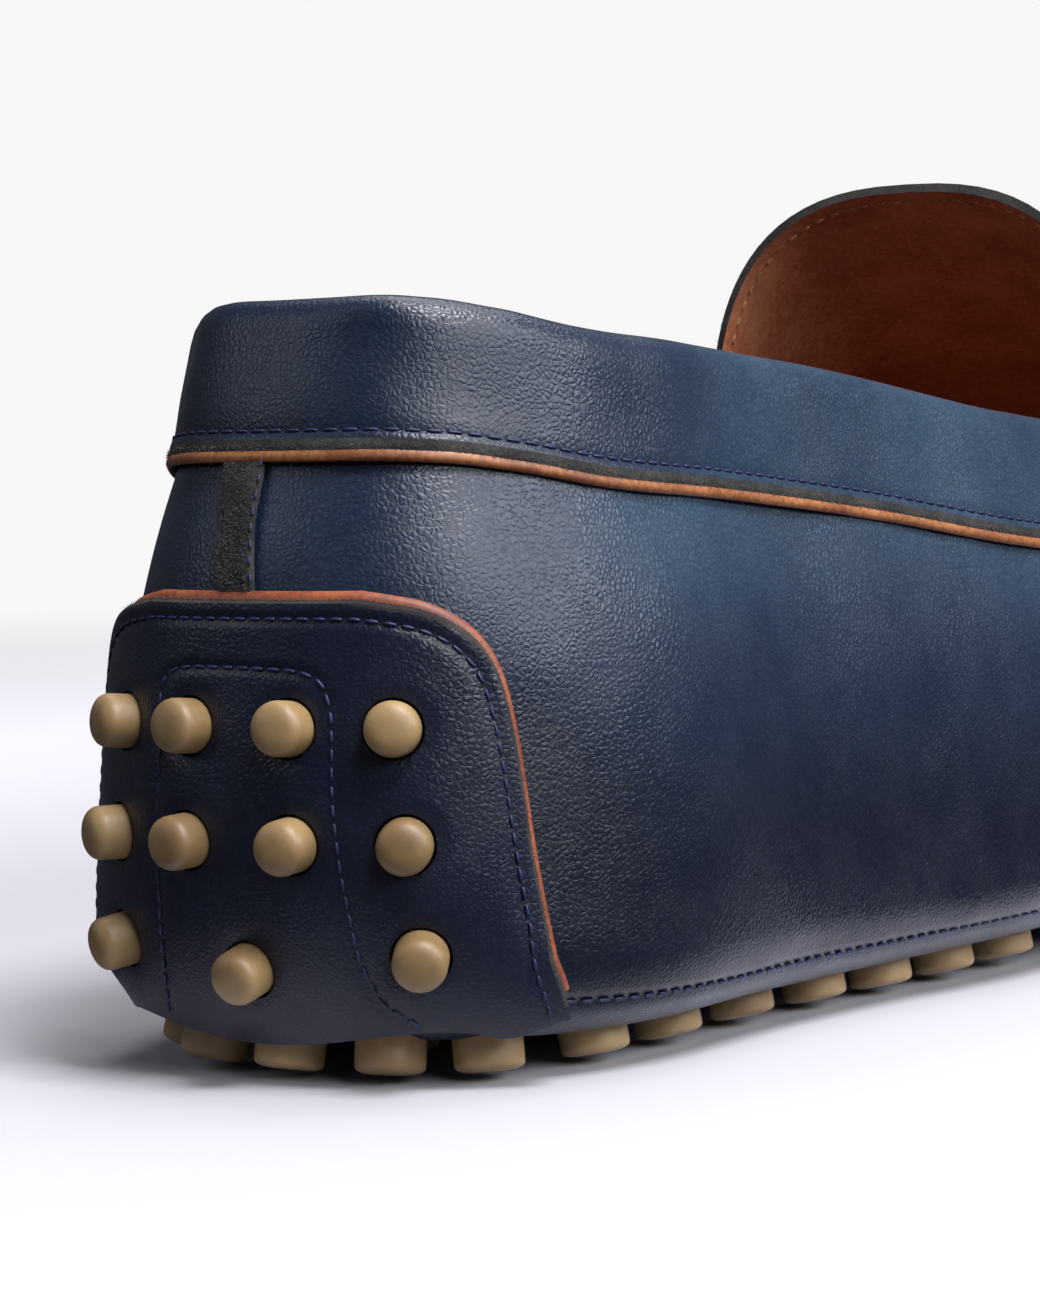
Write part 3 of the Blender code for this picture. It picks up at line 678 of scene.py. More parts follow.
def fibre_tree():
    """Scatters loose fibres over a cut edge, of uneven size and leaning every way."""
    tree, given, ends = geometry_tree(
        "fibres_on_edge", Density="Float", Length="Float", Thickness="Float", Seed="Int", Finish="Material"
    )
    seed = given["Seed"]
    spots = add(tree, "GeometryNodeDistributePointsOnFaces", {
        "Mesh": given["Geometry"], "Density": given["Density"], "Seed": seed,
    })
    hair = add(tree, "GeometryNodeMeshCone", {
        "Vertices": 3, "Radius Top": 0.0, "Radius Bottom": given["Thickness"], "Depth": given["Length"],
    }).outputs[0]
    lean_by = add(tree, "FunctionNodeRandomValue", {
        0: (-1.2, -1.2, -3.1), 1: (1.2, 1.2, 3.1), "Seed": seed,
    }, data_type="FLOAT_VECTOR").outputs[0]
    leaning = add(tree, "FunctionNodeEulerToRotation", {0: lean_by}).outputs[0]
    turn = add(tree, "FunctionNodeRotateRotation", {
        "Rotation": spots.outputs["Rotation"], "Rotate By": leaning,
    }, rotation_space="LOCAL").outputs[0]
    size = add(tree, "FunctionNodeRandomValue", {2: 0.4, 3: 1.3, "Seed": seed}, data_type="FLOAT").outputs[1]
    set_out = add(tree, "GeometryNodeInstanceOnPoints", {
        "Points": spots.outputs["Points"], "Instance": hair, "Rotation": turn, "Scale": size,
    }).outputs[0]
    finished(tree, set_out, given["Finish"], ends)
    return tree


def grown(name, carrier, tree, slot, **values):
    """Runs a tree on a guide mesh and keeps the result as a plain mesh."""
    change = carrier.modifiers.new(name, "NODES")
    change.node_group = tree
    names = {s.name: s.identifier for s in tree.interface.items_tree if s.in_out == "INPUT"}
    for key, value in values.items():
        change[names[key]] = value
    mesh = baked(carrier)
    mesh.name = name
    obj = linked(name, mesh)
    bpy.data.objects.remove(carrier)
    KEPT[obj] = slot
    return obj


def guide(points, edges=(), faces=(), **vectors):
    """A bare mesh for a tree to work on, in the model's frame, with vector attributes on its points."""
    mesh = bpy.data.meshes.new("guide")
    mesh.from_pydata(in_frame(points), list(edges), list(faces))
    for name, values in vectors.items():
        made = mesh.attributes.new(name, "FLOAT_VECTOR", "POINT")
        made.data.foreach_set("vector", np.asarray(values, np.float32).ravel())
    return linked("guide", mesh)


STITCHES, STUDS, FIBRES = stitch_tree(), stud_tree(), fibre_tree()


def stitches(name, points, outs, finish, pitch, length, thickness, slant=0.0, slot="upper_calf"):
    """A row of stitches along a line of points, with the way out of the leather at each.

    pitch, length and thickness are in millimetres.
    """
    line = guide(points, [(i, i + 1) for i in range(len(points) - 1)], out=outs)
    return grown(
        name, line, STITCHES, slot,
        Pitch=pitch / 1000, Length=length / 1000, Thickness=thickness / 1000, Slant=slant, Finish=finish,
    )


def fibres(name, grid, density, length, seed):
    """Loose fibres on a strip of points. density is per square millimetre, and length in millimetres."""
    n, m = grid.shape[:2]
    corners = [i * m + j for i in range(n - 1) for j in range(m - 1)]
    faces = [(k, k + 1, k + m + 1, k + m) for k in corners]
    return grown(
        name, guide(grid, faces=faces), FIBRES, "raw_edge",
        Density=density * 1e6, Length=length / 1000, Thickness=0.03 / 1000, Seed=seed, Finish=LOOSE_FIBRE,
    )


def stud_shape(name, radius, length, dome, square, sides=32):
    """A moulded stud, its tip at the origin. Its end is a dome, flatter the squarer it is."""
    turns = [math.pi / 2 * k / 11 for k in range(12)]
    rings = [
        (radius * math.sin(t) ** (2 / square), dome * (1 - max(math.cos(t), 0.0) ** (2 / square)))
        for t in turns
    ]
    rings += [(radius, length * 0.6), (radius * 1.01, length)]
    points, faces = [], []
    for r, drop in rings:
        for k in range(sides):
            t = 2 * math.pi * k / sides
            points.append((r * math.cos(t), r * math.sin(t), -drop))
    for i in range(len(rings) - 1):
        for k in range(sides):
            a, b = i * sides + k, i * sides + (k + 1) % sides
            faces.append((a, a + sides, b + sides, b))
    faces.append(tuple(range((len(rings) - 1) * sides, len(rings) * sides)))
    mesh = bpy.data.meshes.new(name)
    mesh.from_pydata([tuple(c / 1000 for c in p) for p in points], [], faces)
    obj = linked(name, mesh)
    tidy_mesh(obj)
    return obj


def rubber_studs(name, tips, axes, radius, length, dome, square):
    shape = stud_shape(name + "_shape", radius, length, dome, square)
    obj = grown(name, guide(tips, axis=axes), STUDS, "gum_rubber", Stud=shape, Finish=GUM)
    bpy.data.objects.remove(shape)
    return obj


def pierced(obj, tips, axes, radius, before, behind):
    """Cuts round holes through a piece, from before each tip to behind it."""
    sides = 28
    points, faces = [], []
    for tip, axis in zip(tips, axes):
        axis = np.asarray(axis) / np.linalg.norm(axis)
        side = np.cross(axis, (0, 0, 1) if abs(axis[2]) < 0.8 else (0, 1, 0))
        side /= np.linalg.norm(side)
        other = np.cross(axis, side)
        first = len(points)
        for along in (before, -behind):
            for k in range(sides):
                t = 2 * math.pi * k / sides
                points.append(tip + axis * along + radius * (side * math.cos(t) + other * math.sin(t)))
        faces += [tuple(range(first, first + sides)), tuple(range(first + sides, first + 2 * sides))]
        for k in range(sides):
            p, q = first + k, first + (k + 1) % sides
            faces.append((p, q, q + sides, p + sides))
    cutter = guide(points, faces=faces)
    tidy_mesh(cutter)
    change = obj.modifiers.new("holes", "BOOLEAN")
    change.operation, change.solver, change.object = "DIFFERENCE", "EXACT", cutter
    mesh = baked(obj)
    obj.modifiers.clear()
    obj.data = mesh
    bpy.data.objects.remove(cutter)
    obj.data.set_sharp_from_angle(angle=SMOOTH_TO)


def away(points, line):
    """Distance of each (girth, height) from a line."""
    flat = points.reshape(-1, 2)
    best = np.full(len(flat), 1e9)
    for p, q in zip(line[:-1], line[1:]):
        step = q - p
        t = np.clip((flat - p) @ step / max(step @ step, 1e-9), 0, 1)
        best = np.minimum(best, np.linalg.norm(flat - p - t[:, None] * step, axis=1))
    return best.reshape(points.shape[:-1])


# ---------------------------------------------------------------- stations along the shoe

# girths round the heel, lengths along the side, and shares of the girth from there to the toe
HEEL_A = [4.5 * k for k in range(8)]
SIDE_Y = (30.0, 42.0, 56.0, 72.0, 89.0, 106.0, 121.0, 134.0, THROAT_Y)
FRONT_SHARES = (0.08, 0.17, 0.26, 0.35, 0.44, 0.52, 0.60, 0.67, 0.74, 0.80, 0.86, 0.91, 0.96, 1.0)


def half_stations(outer):
    sign = 1 if outer else -1
    side = [abs(girth_at(y, outer)) for y in SIDE_Y]
    side = [a for a in side if a > HEEL_A[-1] + 2.5]
    end = TOE_A if outer else GIRTH - TOE_A
    front = [side[-1] + (end - side[-1]) * s for s in FRONT_SHARES]
    return sign * np.array(HEEL_A + side + front)


OUTER, INNER = half_stations(True), half_stations(False)
STEPS = len(OUTER) - 1
# the first station beside the apron
FIRST = int(np.argmax(plan(OUTER)[:, 1] > THROAT_Y - 1))


def across(k):
    """The girths, outer and inner, of the k-th station across the shoe. k may lie between stations."""
    index = np.arange(STEPS + 1)
    return np.interp(k, index, OUTER), np.interp(k, index, INNER)


def past_throat(a):
    """0 along the collar and 1 beside the apron."""
    return smooth((plan(a)[..., 1] - THROAT_Y - 0.5) / 6)


# ---------------------------------------------------------------- upper

ROUND = np.arange(0, GIRTH, GIRTH / 460)
UP = np.concatenate([np.linspace(SEAM_V, 0.0, 14), np.linspace(0.035, 0.93, 30)])


def round_heel(a):
    """Girths counted both ways from the middle of the heel, negative on the inner side."""
    return (a + GIRTH / 2) % GIRTH - GIRTH / 2


def upper_grid(inner):
    """Girths and heights of the upper. Its edge stays below the collar's roll and the apron's seam."""
    a, v = np.meshgrid(ROUND, UP, indexing="ij")
    edge = 1.9 * (1 - past_throat(ROUND)) + (1.55 if inner else 0.25) * past_throat(ROUND)
    top = 1 - edge / side_height(ROUND)
    v = np.where(v > 0, v / UP[-1] * top[:, None], v)
    return a, v


# creases of a worn shoe, each listed: y and height of both ends,
# 1 on the outer side and -1 on the inner, depth and half width
CREASES = (
    (146, 55, 163, 41, 1, 0.34, 1.7),
    (155, 52, 176, 36, 1, 0.26, 1.9),
    (171, 44, 186, 27, 1, 0.22, 2.2),
    (186, 38, 199, 21, 1, 0.20, 2.0),
    (147, 54, 161, 39, -1, 0.34, 1.7),
    (160, 49, 181, 33, -1, 0.28, 1.9),
    (179, 41, 193, 24, -1, 0.22, 2.2),
    (14, 52, 19, 40, 1, 0.16, 2.6),
    (31, 56, 38, 45, 1, 0.14, 3.0),
    (62, 40, 78, 31, 1, 0.13, 3.4),
    (96, 47, 112, 36, 1, 0.15, 3.0),
    (24, 50, 33, 38, -1, 0.16, 2.8),
)


def creased(a, z):
    """Depth of the creases at a girth and height: a soft groove with a low ridge beside it."""
    spot, deep = np.stack([round_heel(a), z], -1), 0.0
    for y0, z0, y1, z1, side, depth, wide in CREASES:
        ends = np.array([(girth_at(y0, side > 0), z0), (girth_at(y1, side > 0), z1)])
        gap = away(spot, ends)
        swell = np.exp(-(((gap - 2.2 * wide) / wide) ** 2))
        deep = deep + depth * (np.exp(-((gap / wide) ** 2)) - 0.4 * swell)
    return deep


GIRTHS, HEIGHTS = upper_grid(inner=False)
flat_points = wall(GIRTHS, HEIGHTS)
soft = 0.28 * waves(flat_points, 38, 3) + 0.08 * waves(flat_points, 13, 4)
soft -= creased(GIRTHS, flat_points[..., 2])
soft *= smooth((HEIGHTS + 0.5) / 0.3) * smooth((1 - HEIGHTS) / 0.3)
# drawn in where it is sewn to the bottom
soft -= 0.4 * smooth((SEAM_V + 0.1 - HEIGHTS) / 0.1)
# painted light: lighter upwards, as light falling from above, and painted darker round the heel, partly as
# shade and partly as less rubbing
lit_and_burnished = 0.08 + 0.7 * smooth((flat_points[..., 2] - 14) / 40)
lit_and_burnished -= 0.3 * (1 - smooth((np.abs(round_heel(GIRTHS)) - 20) / 30))
upper = skin(
    "quarter_and_vamp", wall(GIRTHS, HEIGHTS, soft), wall(*upper_grid(inner=True), -WALL),
    (CALF, LINING, RAW_EDGE), "upper_calf", ring=True, lit_and_burnished=lit_and_burnished,
)
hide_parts("upper")

# ---------------------------------------------------------------- apron and its seam


def apron_grid(steps=84, turns=49):
    """The apron's outer points, rows from the throat to the toe, and the way out of it at each."""
    k = np.concatenate([
        np.linspace(FIRST, STEPS - 0.4, steps - 6),
        np.linspace(STEPS - 0.3, STEPS - 0.02, 6),
    ])
    a, b = across(k)
    p, q = wall(a, 1.0), wall(b, 1.0)
    middle, half = (p + q) / 2, (p - q) / 2
    width = np.linalg.norm(half, axis=1)
    half *= np.maximum(1 - 0.3 / width, 0.5)[:, None]
    rise, n = apron_rise(middle[:, 1] / LENGTH), apron_square(middle[:, 1] / LENGTH)
    first = np.minimum(np.arcsin(np.minimum(0.5 / rise, 1.0) ** (n / 2)), 0.2)
    t = (1 - np.cos(np.pi * np.linspace(0, 1, turns))) / 2 * 0.6 + np.linspace(0, 1, turns) * 0.4
    turn = first[:, None] + (math.pi - 2 * first[:, None]) * t
    reach = np.sign(np.cos(turn)) * np.abs(np.cos(turn)) ** (2 / n[:, None])
    rows = middle[:, None] + half[:, None] * reach[..., None]
    rows[..., 2] += rise[:, None] * np.sin(turn) ** (2 / n[:, None])
    along = np.gradient(rows, axis=0)
    over = np.gradient(rows, axis=1)
    out = np.cross(along, over)
    out /= np.linalg.norm(out, axis=-1, keepdims=True)
    out *= np.sign(out[..., 2:].mean())
    return rows, out


# where the shoe flexes, one by one: y, bow across the apron, depth
FLEX_FOLDS = ((176, 5, 0.3), (187, -4, 0.24), (198, 6, 0.2))

APRON_ROWS, APRON_OUT = apron_grid()
soft = 0.22 * waves(APRON_ROWS, 40, 8)
for flex_y, bow, deep in FLEX_FOLDS:
    gap = APRON_ROWS[..., 1] - flex_y - bow * (APRON_ROWS[..., 0] / 30) ** 2
    soft -= deep * np.exp(-((gap / 2.2) ** 2))
soft = soft[..., None] * APRON_OUT
step = np.arange(len(APRON_ROWS))[:, None, None] / (len(APRON_ROWS) - 1)
depth = APRON_SKIN * (0.5 + 0.5 * smooth(step / 0.08)) * (1 - 0.5 * step)
throat_line = (APRON_ROWS - APRON_OUT * (depth + 0.05))[1, 4:-4]
stitches(
    "throat_stitches", throat_line, -APRON_OUT[1, 4:-4], TAN_THREAD,
    pitch=2.2, length=1.5, thickness=0.5, slot="lining",
)
throat_edge = np.stack([(APRON_ROWS - APRON_OUT * depth * part)[0] for part in (0.0, 0.5, 1.0)], 1)
fibres("throat_edge_fibres", throat_edge, density=20.0, length=0.4, seed=13)
apron = skin(
    "apron_and_tongue", APRON_ROWS + soft, APRON_ROWS - APRON_OUT * depth,
    (CALF, LINING, RAW_EDGE), "upper_calf", lit_and_burnished=0.5,
)
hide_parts("apron")


# distance between two puckers, and between the stitches that draw them in
PUCKER = 5.0
UPWARDS = np.array([0, 0, 1.0])


def ridge(steps=300, sides=14):
    """The raised moccasin seam, gathered into small puckers round the toe, and its middle line."""
    k = np.linspace(FIRST, STEPS, steps // 2)
    a, b = across(k)
    path = np.concatenate([a, (b + GIRTH)[-2::-1]])
    base = wall(path, 1.0)
    out = wall(path, 1.0, 1.0) - base
    run = np.concatenate([[0], np.cumsum(np.linalg.norm(np.diff(base, axis=0), axis=1))])
    gathered = smooth((share(path) - 0.62) / 0.15)
    swell = 1 + (0.05 + 0.1 * gathered) * np.cos(2 * math.pi * run / PUCKER)
    side = np.concatenate([plan_out(path), np.zeros((len(path), 1))], 1)
    centre = base + out * 0.6 + UPWARDS * 0.55
    t = np.linspace(0, 2 * math.pi, sides, endpoint=False)
    wide, tall = 0.95 * swell, 1.45 * swell
    ring = centre[:, None] + side[:, None] * (np.cos(t)[None, :, None] * wide[:, None, None])
    ring = ring + UPWARDS * (np.sin(t)[None, :, None] * tall[:, None, None])
    return ring, centre


RIDGE, RIDGE_LINE = ridge()
seam = loft("moccasin_seam", RIDGE, (CALF,), "upper_calf", lit_and_burnished=0.35)
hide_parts("apron_seam")
stitches(
    "moccasin_seam_stitches", RIDGE_LINE + UPWARDS * 0.75, np.broadcast_to(UPWARDS, RIDGE_LINE.shape),
    NAVY_THREAD, pitch=PUCKER, length=3.2, thickness=1.5, slant=1.25,
)

# ---------------------------------------------------------------- collar

# height below the crest, lift: clockwise from the band's outer lower edge, over the
# crest and down inside, then back round the upper's edge
COLLAR = (
    (15.1, 0.4), (15.15, 0.85), (14.95, 1.02), (14.5, 1.06), (13.95, 1.12), (13.5, 1.1),
    (13.1, 0.88), (12.7, 1.02), (11.8, 1.15), (10.3, 1.28), (8.6, 1.36), (6.6, 1.42),
    (4.8, 1.44), (3.2, 1.38), (1.9, 1.15), (0.9, 0.68), (0.25, -0.1), (-0.05, -1.0),
    (0.05, -2.0), (0.6, -2.95), (1.7, -3.6), (3.4, -3.95), (6.0, -3.95), (9.0, -3.75),
    (12.0, -3.55), (12.0, -2.65), (6.5, -2.65), (1.45, -2.65), (1.45, 0.3), (6.5, 0.4),
    (13.0, 0.4),
)
# how many of these points lie outside and on the crest, and how far down the seam runs
COLLAR_SEEN = 21
COLLAR_SEAM = 13.1
COLLAR_END = THROAT_Y - 1.0
COLLAR_A = np.linspace(girth_at(COLLAR_END, False), girth_at(COLLAR_END), 260)


def dents(*places):
    """Soft hollows and swells in the leather, each given as girth, half width and depth."""
    return lambda a: sum(-deep * np.exp(-(((a - at) / wide) ** 2)) for at, wide, deep in places)


COLLAR_DENTS = dents(
    (-23, 4, 0.3), (-6, 5, 0.15), (24, 5, 0.12), (49, 5, 0.18), (60, 8, -0.12),
    (78, 5, 0.15), (104, 6, 0.22), (-52, 5, 0.3), (-88, 6, 0.25),
)
CREST_SWELL = dents((12, 6.5, -0.85))


def collar_sections():
    """The padded band, its sections from the inner end round the heel to the outer end."""
    d = np.array([row[0] for row in COLLAR])
    lift = np.array([row[1] for row in COLLAR])
    a = COLLAR_A[:, None]
    base = below_top(a, d[None])
    plump = 0.22 * waves(base, 24, 21) + 0.1 * waves(base, 9, 22)
    padded = smooth((14 - d) / 4) * (np.arange(len(d)) < COLLAR_SEEN)
    plump += COLLAR_DENTS(a) + CREST_SWELL(a) * smooth((4 - d) / 4)
    rank = np.arange(len(COLLAR_A))
    full = 0.45 + 0.55 * smooth(np.minimum(rank, rank[::-1]) / 5)[:, None]
    lift = np.where(lift > 0.9, 0.9 + (lift - 0.9) * full, lift)
    return below_top(a, np.broadcast_to(d, lift.shape), lift + plump * padded * full)


# the raw edge shows on the band's lower edge, up to its seam
bands = [1] * 4 + [0] * (len(COLLAR) - 5) + [1]
# painted light: the band is painted darker round the middle of the heel, as shade, and lighter towards its
# sides, where light falls on its crest
tone = 0.32 + 0.42 * smooth((np.abs(COLLAR_A[:, None]) - 20) / 60)
collar = loft("collar_band_padded", collar_sections(), (CALF, RAW_EDGE), "upper_calf", bands, tone)
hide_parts("collar_band")
seam_line, seam_above = (below_top(COLLAR_A, COLLAR_SEAM, lift) for lift in (0.98, 1.98))
stitches(
    "collar_stitches", seam_line, seam_above - seam_line, BLUE_THREAD,
    pitch=2.0, length=1.65, thickness=0.38,
)

# height below the crest, lift: the raw lower edge, and a thin rolled edge under it
COLLAR_RAW = ((14.5, 1.08), (14.9, 1.04), (15.15, 0.85), (15.1, 0.5))
PIPING = ((14.5, 0.28), (14.5, 0.75), (15.15, 1.05), (15.6, 1.05), (15.9, 0.8), (15.95, 0.5), (15.7, 0.25))


def round_collar(section):
    return np.stack([below_top(COLLAR_A, d, lift) for d, lift in section], 1)


fibres("collar_edge_fibres", round_collar(COLLAR_RAW), density=22.0, length=0.4, seed=5)
collar_piping = loft("collar_piping_rolled", round_collar(PIPING), (COLLAR_EDGE,), "tan_edge")
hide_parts("collar_piping")

# ---------------------------------------------------------------- back strip

# heights of the strip, distances across it, and its lift at each
STRIP_Z = np.linspace(46.8, 59.2, 30)
STRIP_U = np.array([-2.1, -1.95, -1.5, -0.5, 0.5, 1.5, 1.95, 2.1])
STRIP_LIFT = np.array([[0.35, 0.75, 0.95, 0.9, 0.9, 0.95, 0.75, 0.35]])
STRIP_UNDER = np.full((1, len(STRIP_U)), 0.28)


def strip_grid(lifts):
    """The lapped strip: it leans to the inner side and widens towards the collar."""
    z, u = np.meshgrid(STRIP_Z, STRIP_U, indexing="ij")
    a = u * (1 + 0.3 * smooth((z - 53) / 6)) - 1.6 - (z - 46) * 0.15
    base = wall(a, v_at(a, z))
    return wall(a, v_at(a, z), lifts + 0.1 * waves(base, 3.5, 31) * (lifts > 0.4))


strip = skin(
    "back_seam_strip_raw", strip_grid(STRIP_LIFT), strip_grid(STRIP_UNDER), (RAW_EDGE,) * 3, "raw_edge"
)
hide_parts("back_seam_strip")
fibres("back_seam_fibres", strip_grid(STRIP_LIFT + 0.02)[:, 1:7], density=22.0, length=0.45, seed=9)
strip_line, strip_out = (strip_grid(STRIP_LIFT + up)[:, 6] for up in (0.05, 1.05))
stitches(
    "back_seam_stitches", strip_line, strip_out - strip_line, BLUE_THREAD,
    pitch=1.5, length=1.1, thickness=0.32, slot="raw_edge",
)

# ---------------------------------------------------------------- heel patch

# heights of the rows, closer together at the top, and places across as shares of the half width
PATCH_ROWS = np.concatenate([
    np.linspace(3.2, 38.0, 60),
    np.linspace(38.5, 46.3, 40)[:-4],
    [46.0, 46.12, 46.22, 46.3],
])
PATCH_COLS = np.concatenate([[-1.0, -0.996, -0.991], np.linspace(-0.983, 0.983, 84), [0.991, 0.996, 1.0]])

# girth and height along the stitched arch, from its lower inner end to its outer one
ARCH = (
    (-12.5, 5.5), (-11.5, 9.0), (-10.2, 16.0), (-9.2, 26.0), (-9.0, 34.0), (-9.6, 37.5),
    (-8.6, 39.4), (-6.0, 40.0), (0.0, 40.0), (6.0, 39.8), (8.6, 39.0), (9.6, 36.0),
    (9.7, 28.0), (10.4, 21.3), (11.6, 13.8), (13.5, 8.4), (16.5, 5.0),
)


def edge_line(inset, start=6.0):
    """The patch's outline as (girth, height), moved inwards, from its lower inner corner over the top."""
    top_z, top_half = PATCH[-1]
    z = np.concatenate([np.linspace(start, 44.0, 60), np.linspace(44.3, top_z, 16)])
    right = np.stack([patch_half(z), z], 1)
    top = np.stack([np.linspace(-top_half, top_half, 21)[1:-1], np.full(19, top_z)], 1)
    line = np.concatenate([right * (-1, 1), top, right[::-1]])
    step = np.gradient(line, axis=0)
    step /= np.linalg.norm(step, axis=1, keepdims=True)
    return line + np.stack([step[:, 1], -step[:, 0]], 1) * inset


def eased(line, spacing=0.5):
    """A line of points made even and rounded at its corners."""
    line = np.asarray(line, float)
    run = np.concatenate([[0], np.cumsum(np.linalg.norm(np.diff(line, axis=0), axis=1))])
    at = np.linspace(0, run[-1], int(run[-1] / spacing) + 1)
    even = np.stack([np.interp(at, run, line[:, c]) for c in range(2)], 1)
    for _ in range(6):
        even[1:-1] = (even[:-2] + 2 * even[1:-1] + even[2:]) / 4
    return even


# how far the patch's lower inner corner is pressed in, as on the worn shoe
PRESSED_BY = 1.3
EDGE = edge_line(0.0)
PATCH_SEAM = eased(edge_line(1.75))
ARCH_SEAM = eased(ARCH)


def pressed(a, z):
    """1 where the patch's lower inner corner is pressed flat."""
    return smooth((-a - 21) / 9) * smooth((11 - z) / 7)


def patch_lift(a, z):
    """The patch's face: eased at its edge, drawn in by its seams and pressed round its studs."""
    spot = np.stack([a, z], -1)
    edge = away(spot, EDGE)
    lift = PATCH_TOP - 0.4 * (1 - smooth(edge / 0.5)) ** 2
    lift -= 0.22 * np.exp(-((away(spot, PATCH_SEAM) / 0.55) ** 2))
    lift -= 0.2 * np.exp(-((away(spot, ARCH_SEAM) / 0.55) ** 2))
    lift -= PRESSED_BY * pressed(a, z)
    for height, girth in HEEL_STUDS:
        gap = np.hypot(a - girth, z - height) - HEEL_STUD_RADIUS
        lift -= 0.22 * np.exp(-((np.maximum(gap, 0) / 0.9) ** 2))
    return lift


patch_z, patch_s = np.meshgrid(PATCH_ROWS, PATCH_COLS, indexing="ij")
patch_a = patch_s * patch_half(patch_z)
patch_base = patch_at(patch_a, patch_z, 0.0)
lift = patch_lift(patch_a, patch_z) + 0.1 * waves(patch_base, 17, 41) * smooth((46 - patch_z) / 8)
inside = PATCH_INSIDE - 0.5 * pressed(patch_a, patch_z)
raw_rim = away(np.stack([patch_a, patch_z], -1), EDGE) < 0.75
patch = skin(
    "heel_patch_stitched", patch_at(patch_a, patch_z, lift), patch_at(patch_a, patch_z, inside),
    (PATCH_CALF, RAW_EDGE, RAW_EDGE), "patch_calf", lit_and_burnished=0.5, cut=raw_rim,
)
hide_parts("heel_patch")
stud_z, stud_a = (np.array([row[c] for row in HEEL_STUDS]) for c in (0, 1))
stud_tips = patch_at(stud_a, stud_z, HEEL_STUD_TIP)
stud_axes = stud_tips - patch_at(stud_a, stud_z, HEEL_STUD_ROOT)
pierced(patch, stud_tips, stud_axes, HEEL_STUD_RADIUS + STUD_GAP, before=1.0, behind=5.2)
pad = rubber_studs(
    "heel_pad_studs", stud_tips, stud_axes, HEEL_STUD_RADIUS, length=4.9, dome=1.75, square=2.7
)
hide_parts("heel_pad")


def patch_seam(name, line, below):
    """A row of stitches on the patch, sunk below its face."""
    a, z = line[:, 0], line[:, 1]
    lift = PATCH_TOP - below - PRESSED_BY * pressed(a, z)
    points = patch_at(a, z, lift)
    outs = patch_at(a, z, lift + 1) - points
    stitches(name, points, outs, BLUE_THREAD, pitch=1.7, length=1.4, thickness=0.4, slot="patch_calf")


patch_seam("patch_edge_stitches", PATCH_SEAM, 0.12)
patch_seam("patch_arch_stitches", ARCH_SEAM, 0.1)

rim_grid = np.stack([patch_at(EDGE[:, 0], EDGE[:, 1], lift) for lift in (1.3, 1.7, 2.05)], 1)
fibres("patch_edge_fibres", rim_grid, density=22.0, length=0.45, seed=11)

# inset from the patch's outline, lift: from under the patch, over its edge and back
PATCH_PIPING = (
    (2.0, 0.3), (2.0, 0.7), (0.2, 1.15), (-0.4, 1.15),
    (-0.8, 0.95), (-0.95, 0.65), (-0.8, 0.32), (-0.2, 0.28),
)


def patch_piping():
    """A rolled tan edge that shows all round the patch's outline."""
    lines = [(edge_line(inset, start=7.0), lift) for inset, lift in PATCH_PIPING]
    return np.stack([patch_at(line[:, 0], line[:, 1], lift) for line, lift in lines], 1)


piping = loft("patch_piping_rolled", patch_piping(), (PATCH_EDGE,), "tan_edge")
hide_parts("heel_patch_piping")

# ---------------------------------------------------------------- bottom

# stations of the bottom, heights up its turned edge, places across its flat, and how far
# its edge is tucked in where it is sewn to the upper
SOLE_K = np.concatenate([
    np.linspace(0.02, 8, 60),
    np.linspace(8.1, STEPS - 0.5, 110),
    np.linspace(STEPS - 0.45, STEPS - 0.02, 12),
])
SOLE_V = np.concatenate([SEAM_V + np.array([0.03, 0.0, -0.03, -0.06]), np.linspace(SEAM_V - 0.1, -1.0, 11)])
FLAT_T = np.linspace(0, 1, 17)
SOLE_DROP = -0.5 * (1 - smooth((SEAM_V + 0.02 - SOLE_V) / 0.12))


def sole_grid(lift):
    """Rows across the bottom, from the outer seam under the foot to the inner one."""
    a, b = across(SOLE_K)
    p, q = wall(a, -1.0), wall(b, -1.0)
    flat = p[:, None] + (q - p)[:, None] * FLAT_T[None, :, None]
    flat[..., 2] = floor_z(flat[..., 1] / LENGTH) - lift
    turn = SOLE_V[:-1]
    sunk = lift + SOLE_DROP[:-1]
    left = wall(a[:, None], turn[None], sunk[None])
    right = wall(b[:, None], turn[None, ::-1], sunk[None, ::-1])
    return np.concatenate([left, flat, right], 1)


def edge_studs():
    """Girths of the studs round the edge of the heel and of the front."""
    heel = [-0.7, *SIDE_STUDS, *(-a - 1.4 for a in SIDE_STUDS)]
    outer_start, inner_start = girth_at(FRONT_STUDS), -girth_at(FRONT_STUDS, outer=False)
    outer = [outer_start + (TOE_A - outer_start) * k / 9 for k in range(10)]
    inner = [inner_start + (GIRTH - TOE_A - inner_start) * k / 9 for k in range(9)]
    return heel + outer + [-a for a in inner]


def stud_inset(a):
    """How far inside the widest line an edge stud leaves the leather: least at the back of the heel."""
    back = min(a % GIRTH, -a % GIRTH)
    return 7.5 + 2.8 * smooth((back - 20) / 28) + 1.2 * smooth((back - 90) / 40)


def inner_studs():
    """Places along and across the shoe of the studs inside the edge ones."""
    heel = [(REST_FROM_BACK + HEEL_WIDTH * y, HEEL_WIDTH * x) for y, x in HEEL_INNER_STUDS]
    return heel + [(BALL_AT + BALL_WIDTH * y, BALL_WIDTH * x) for y, x in BALL_INNER_STUDS]


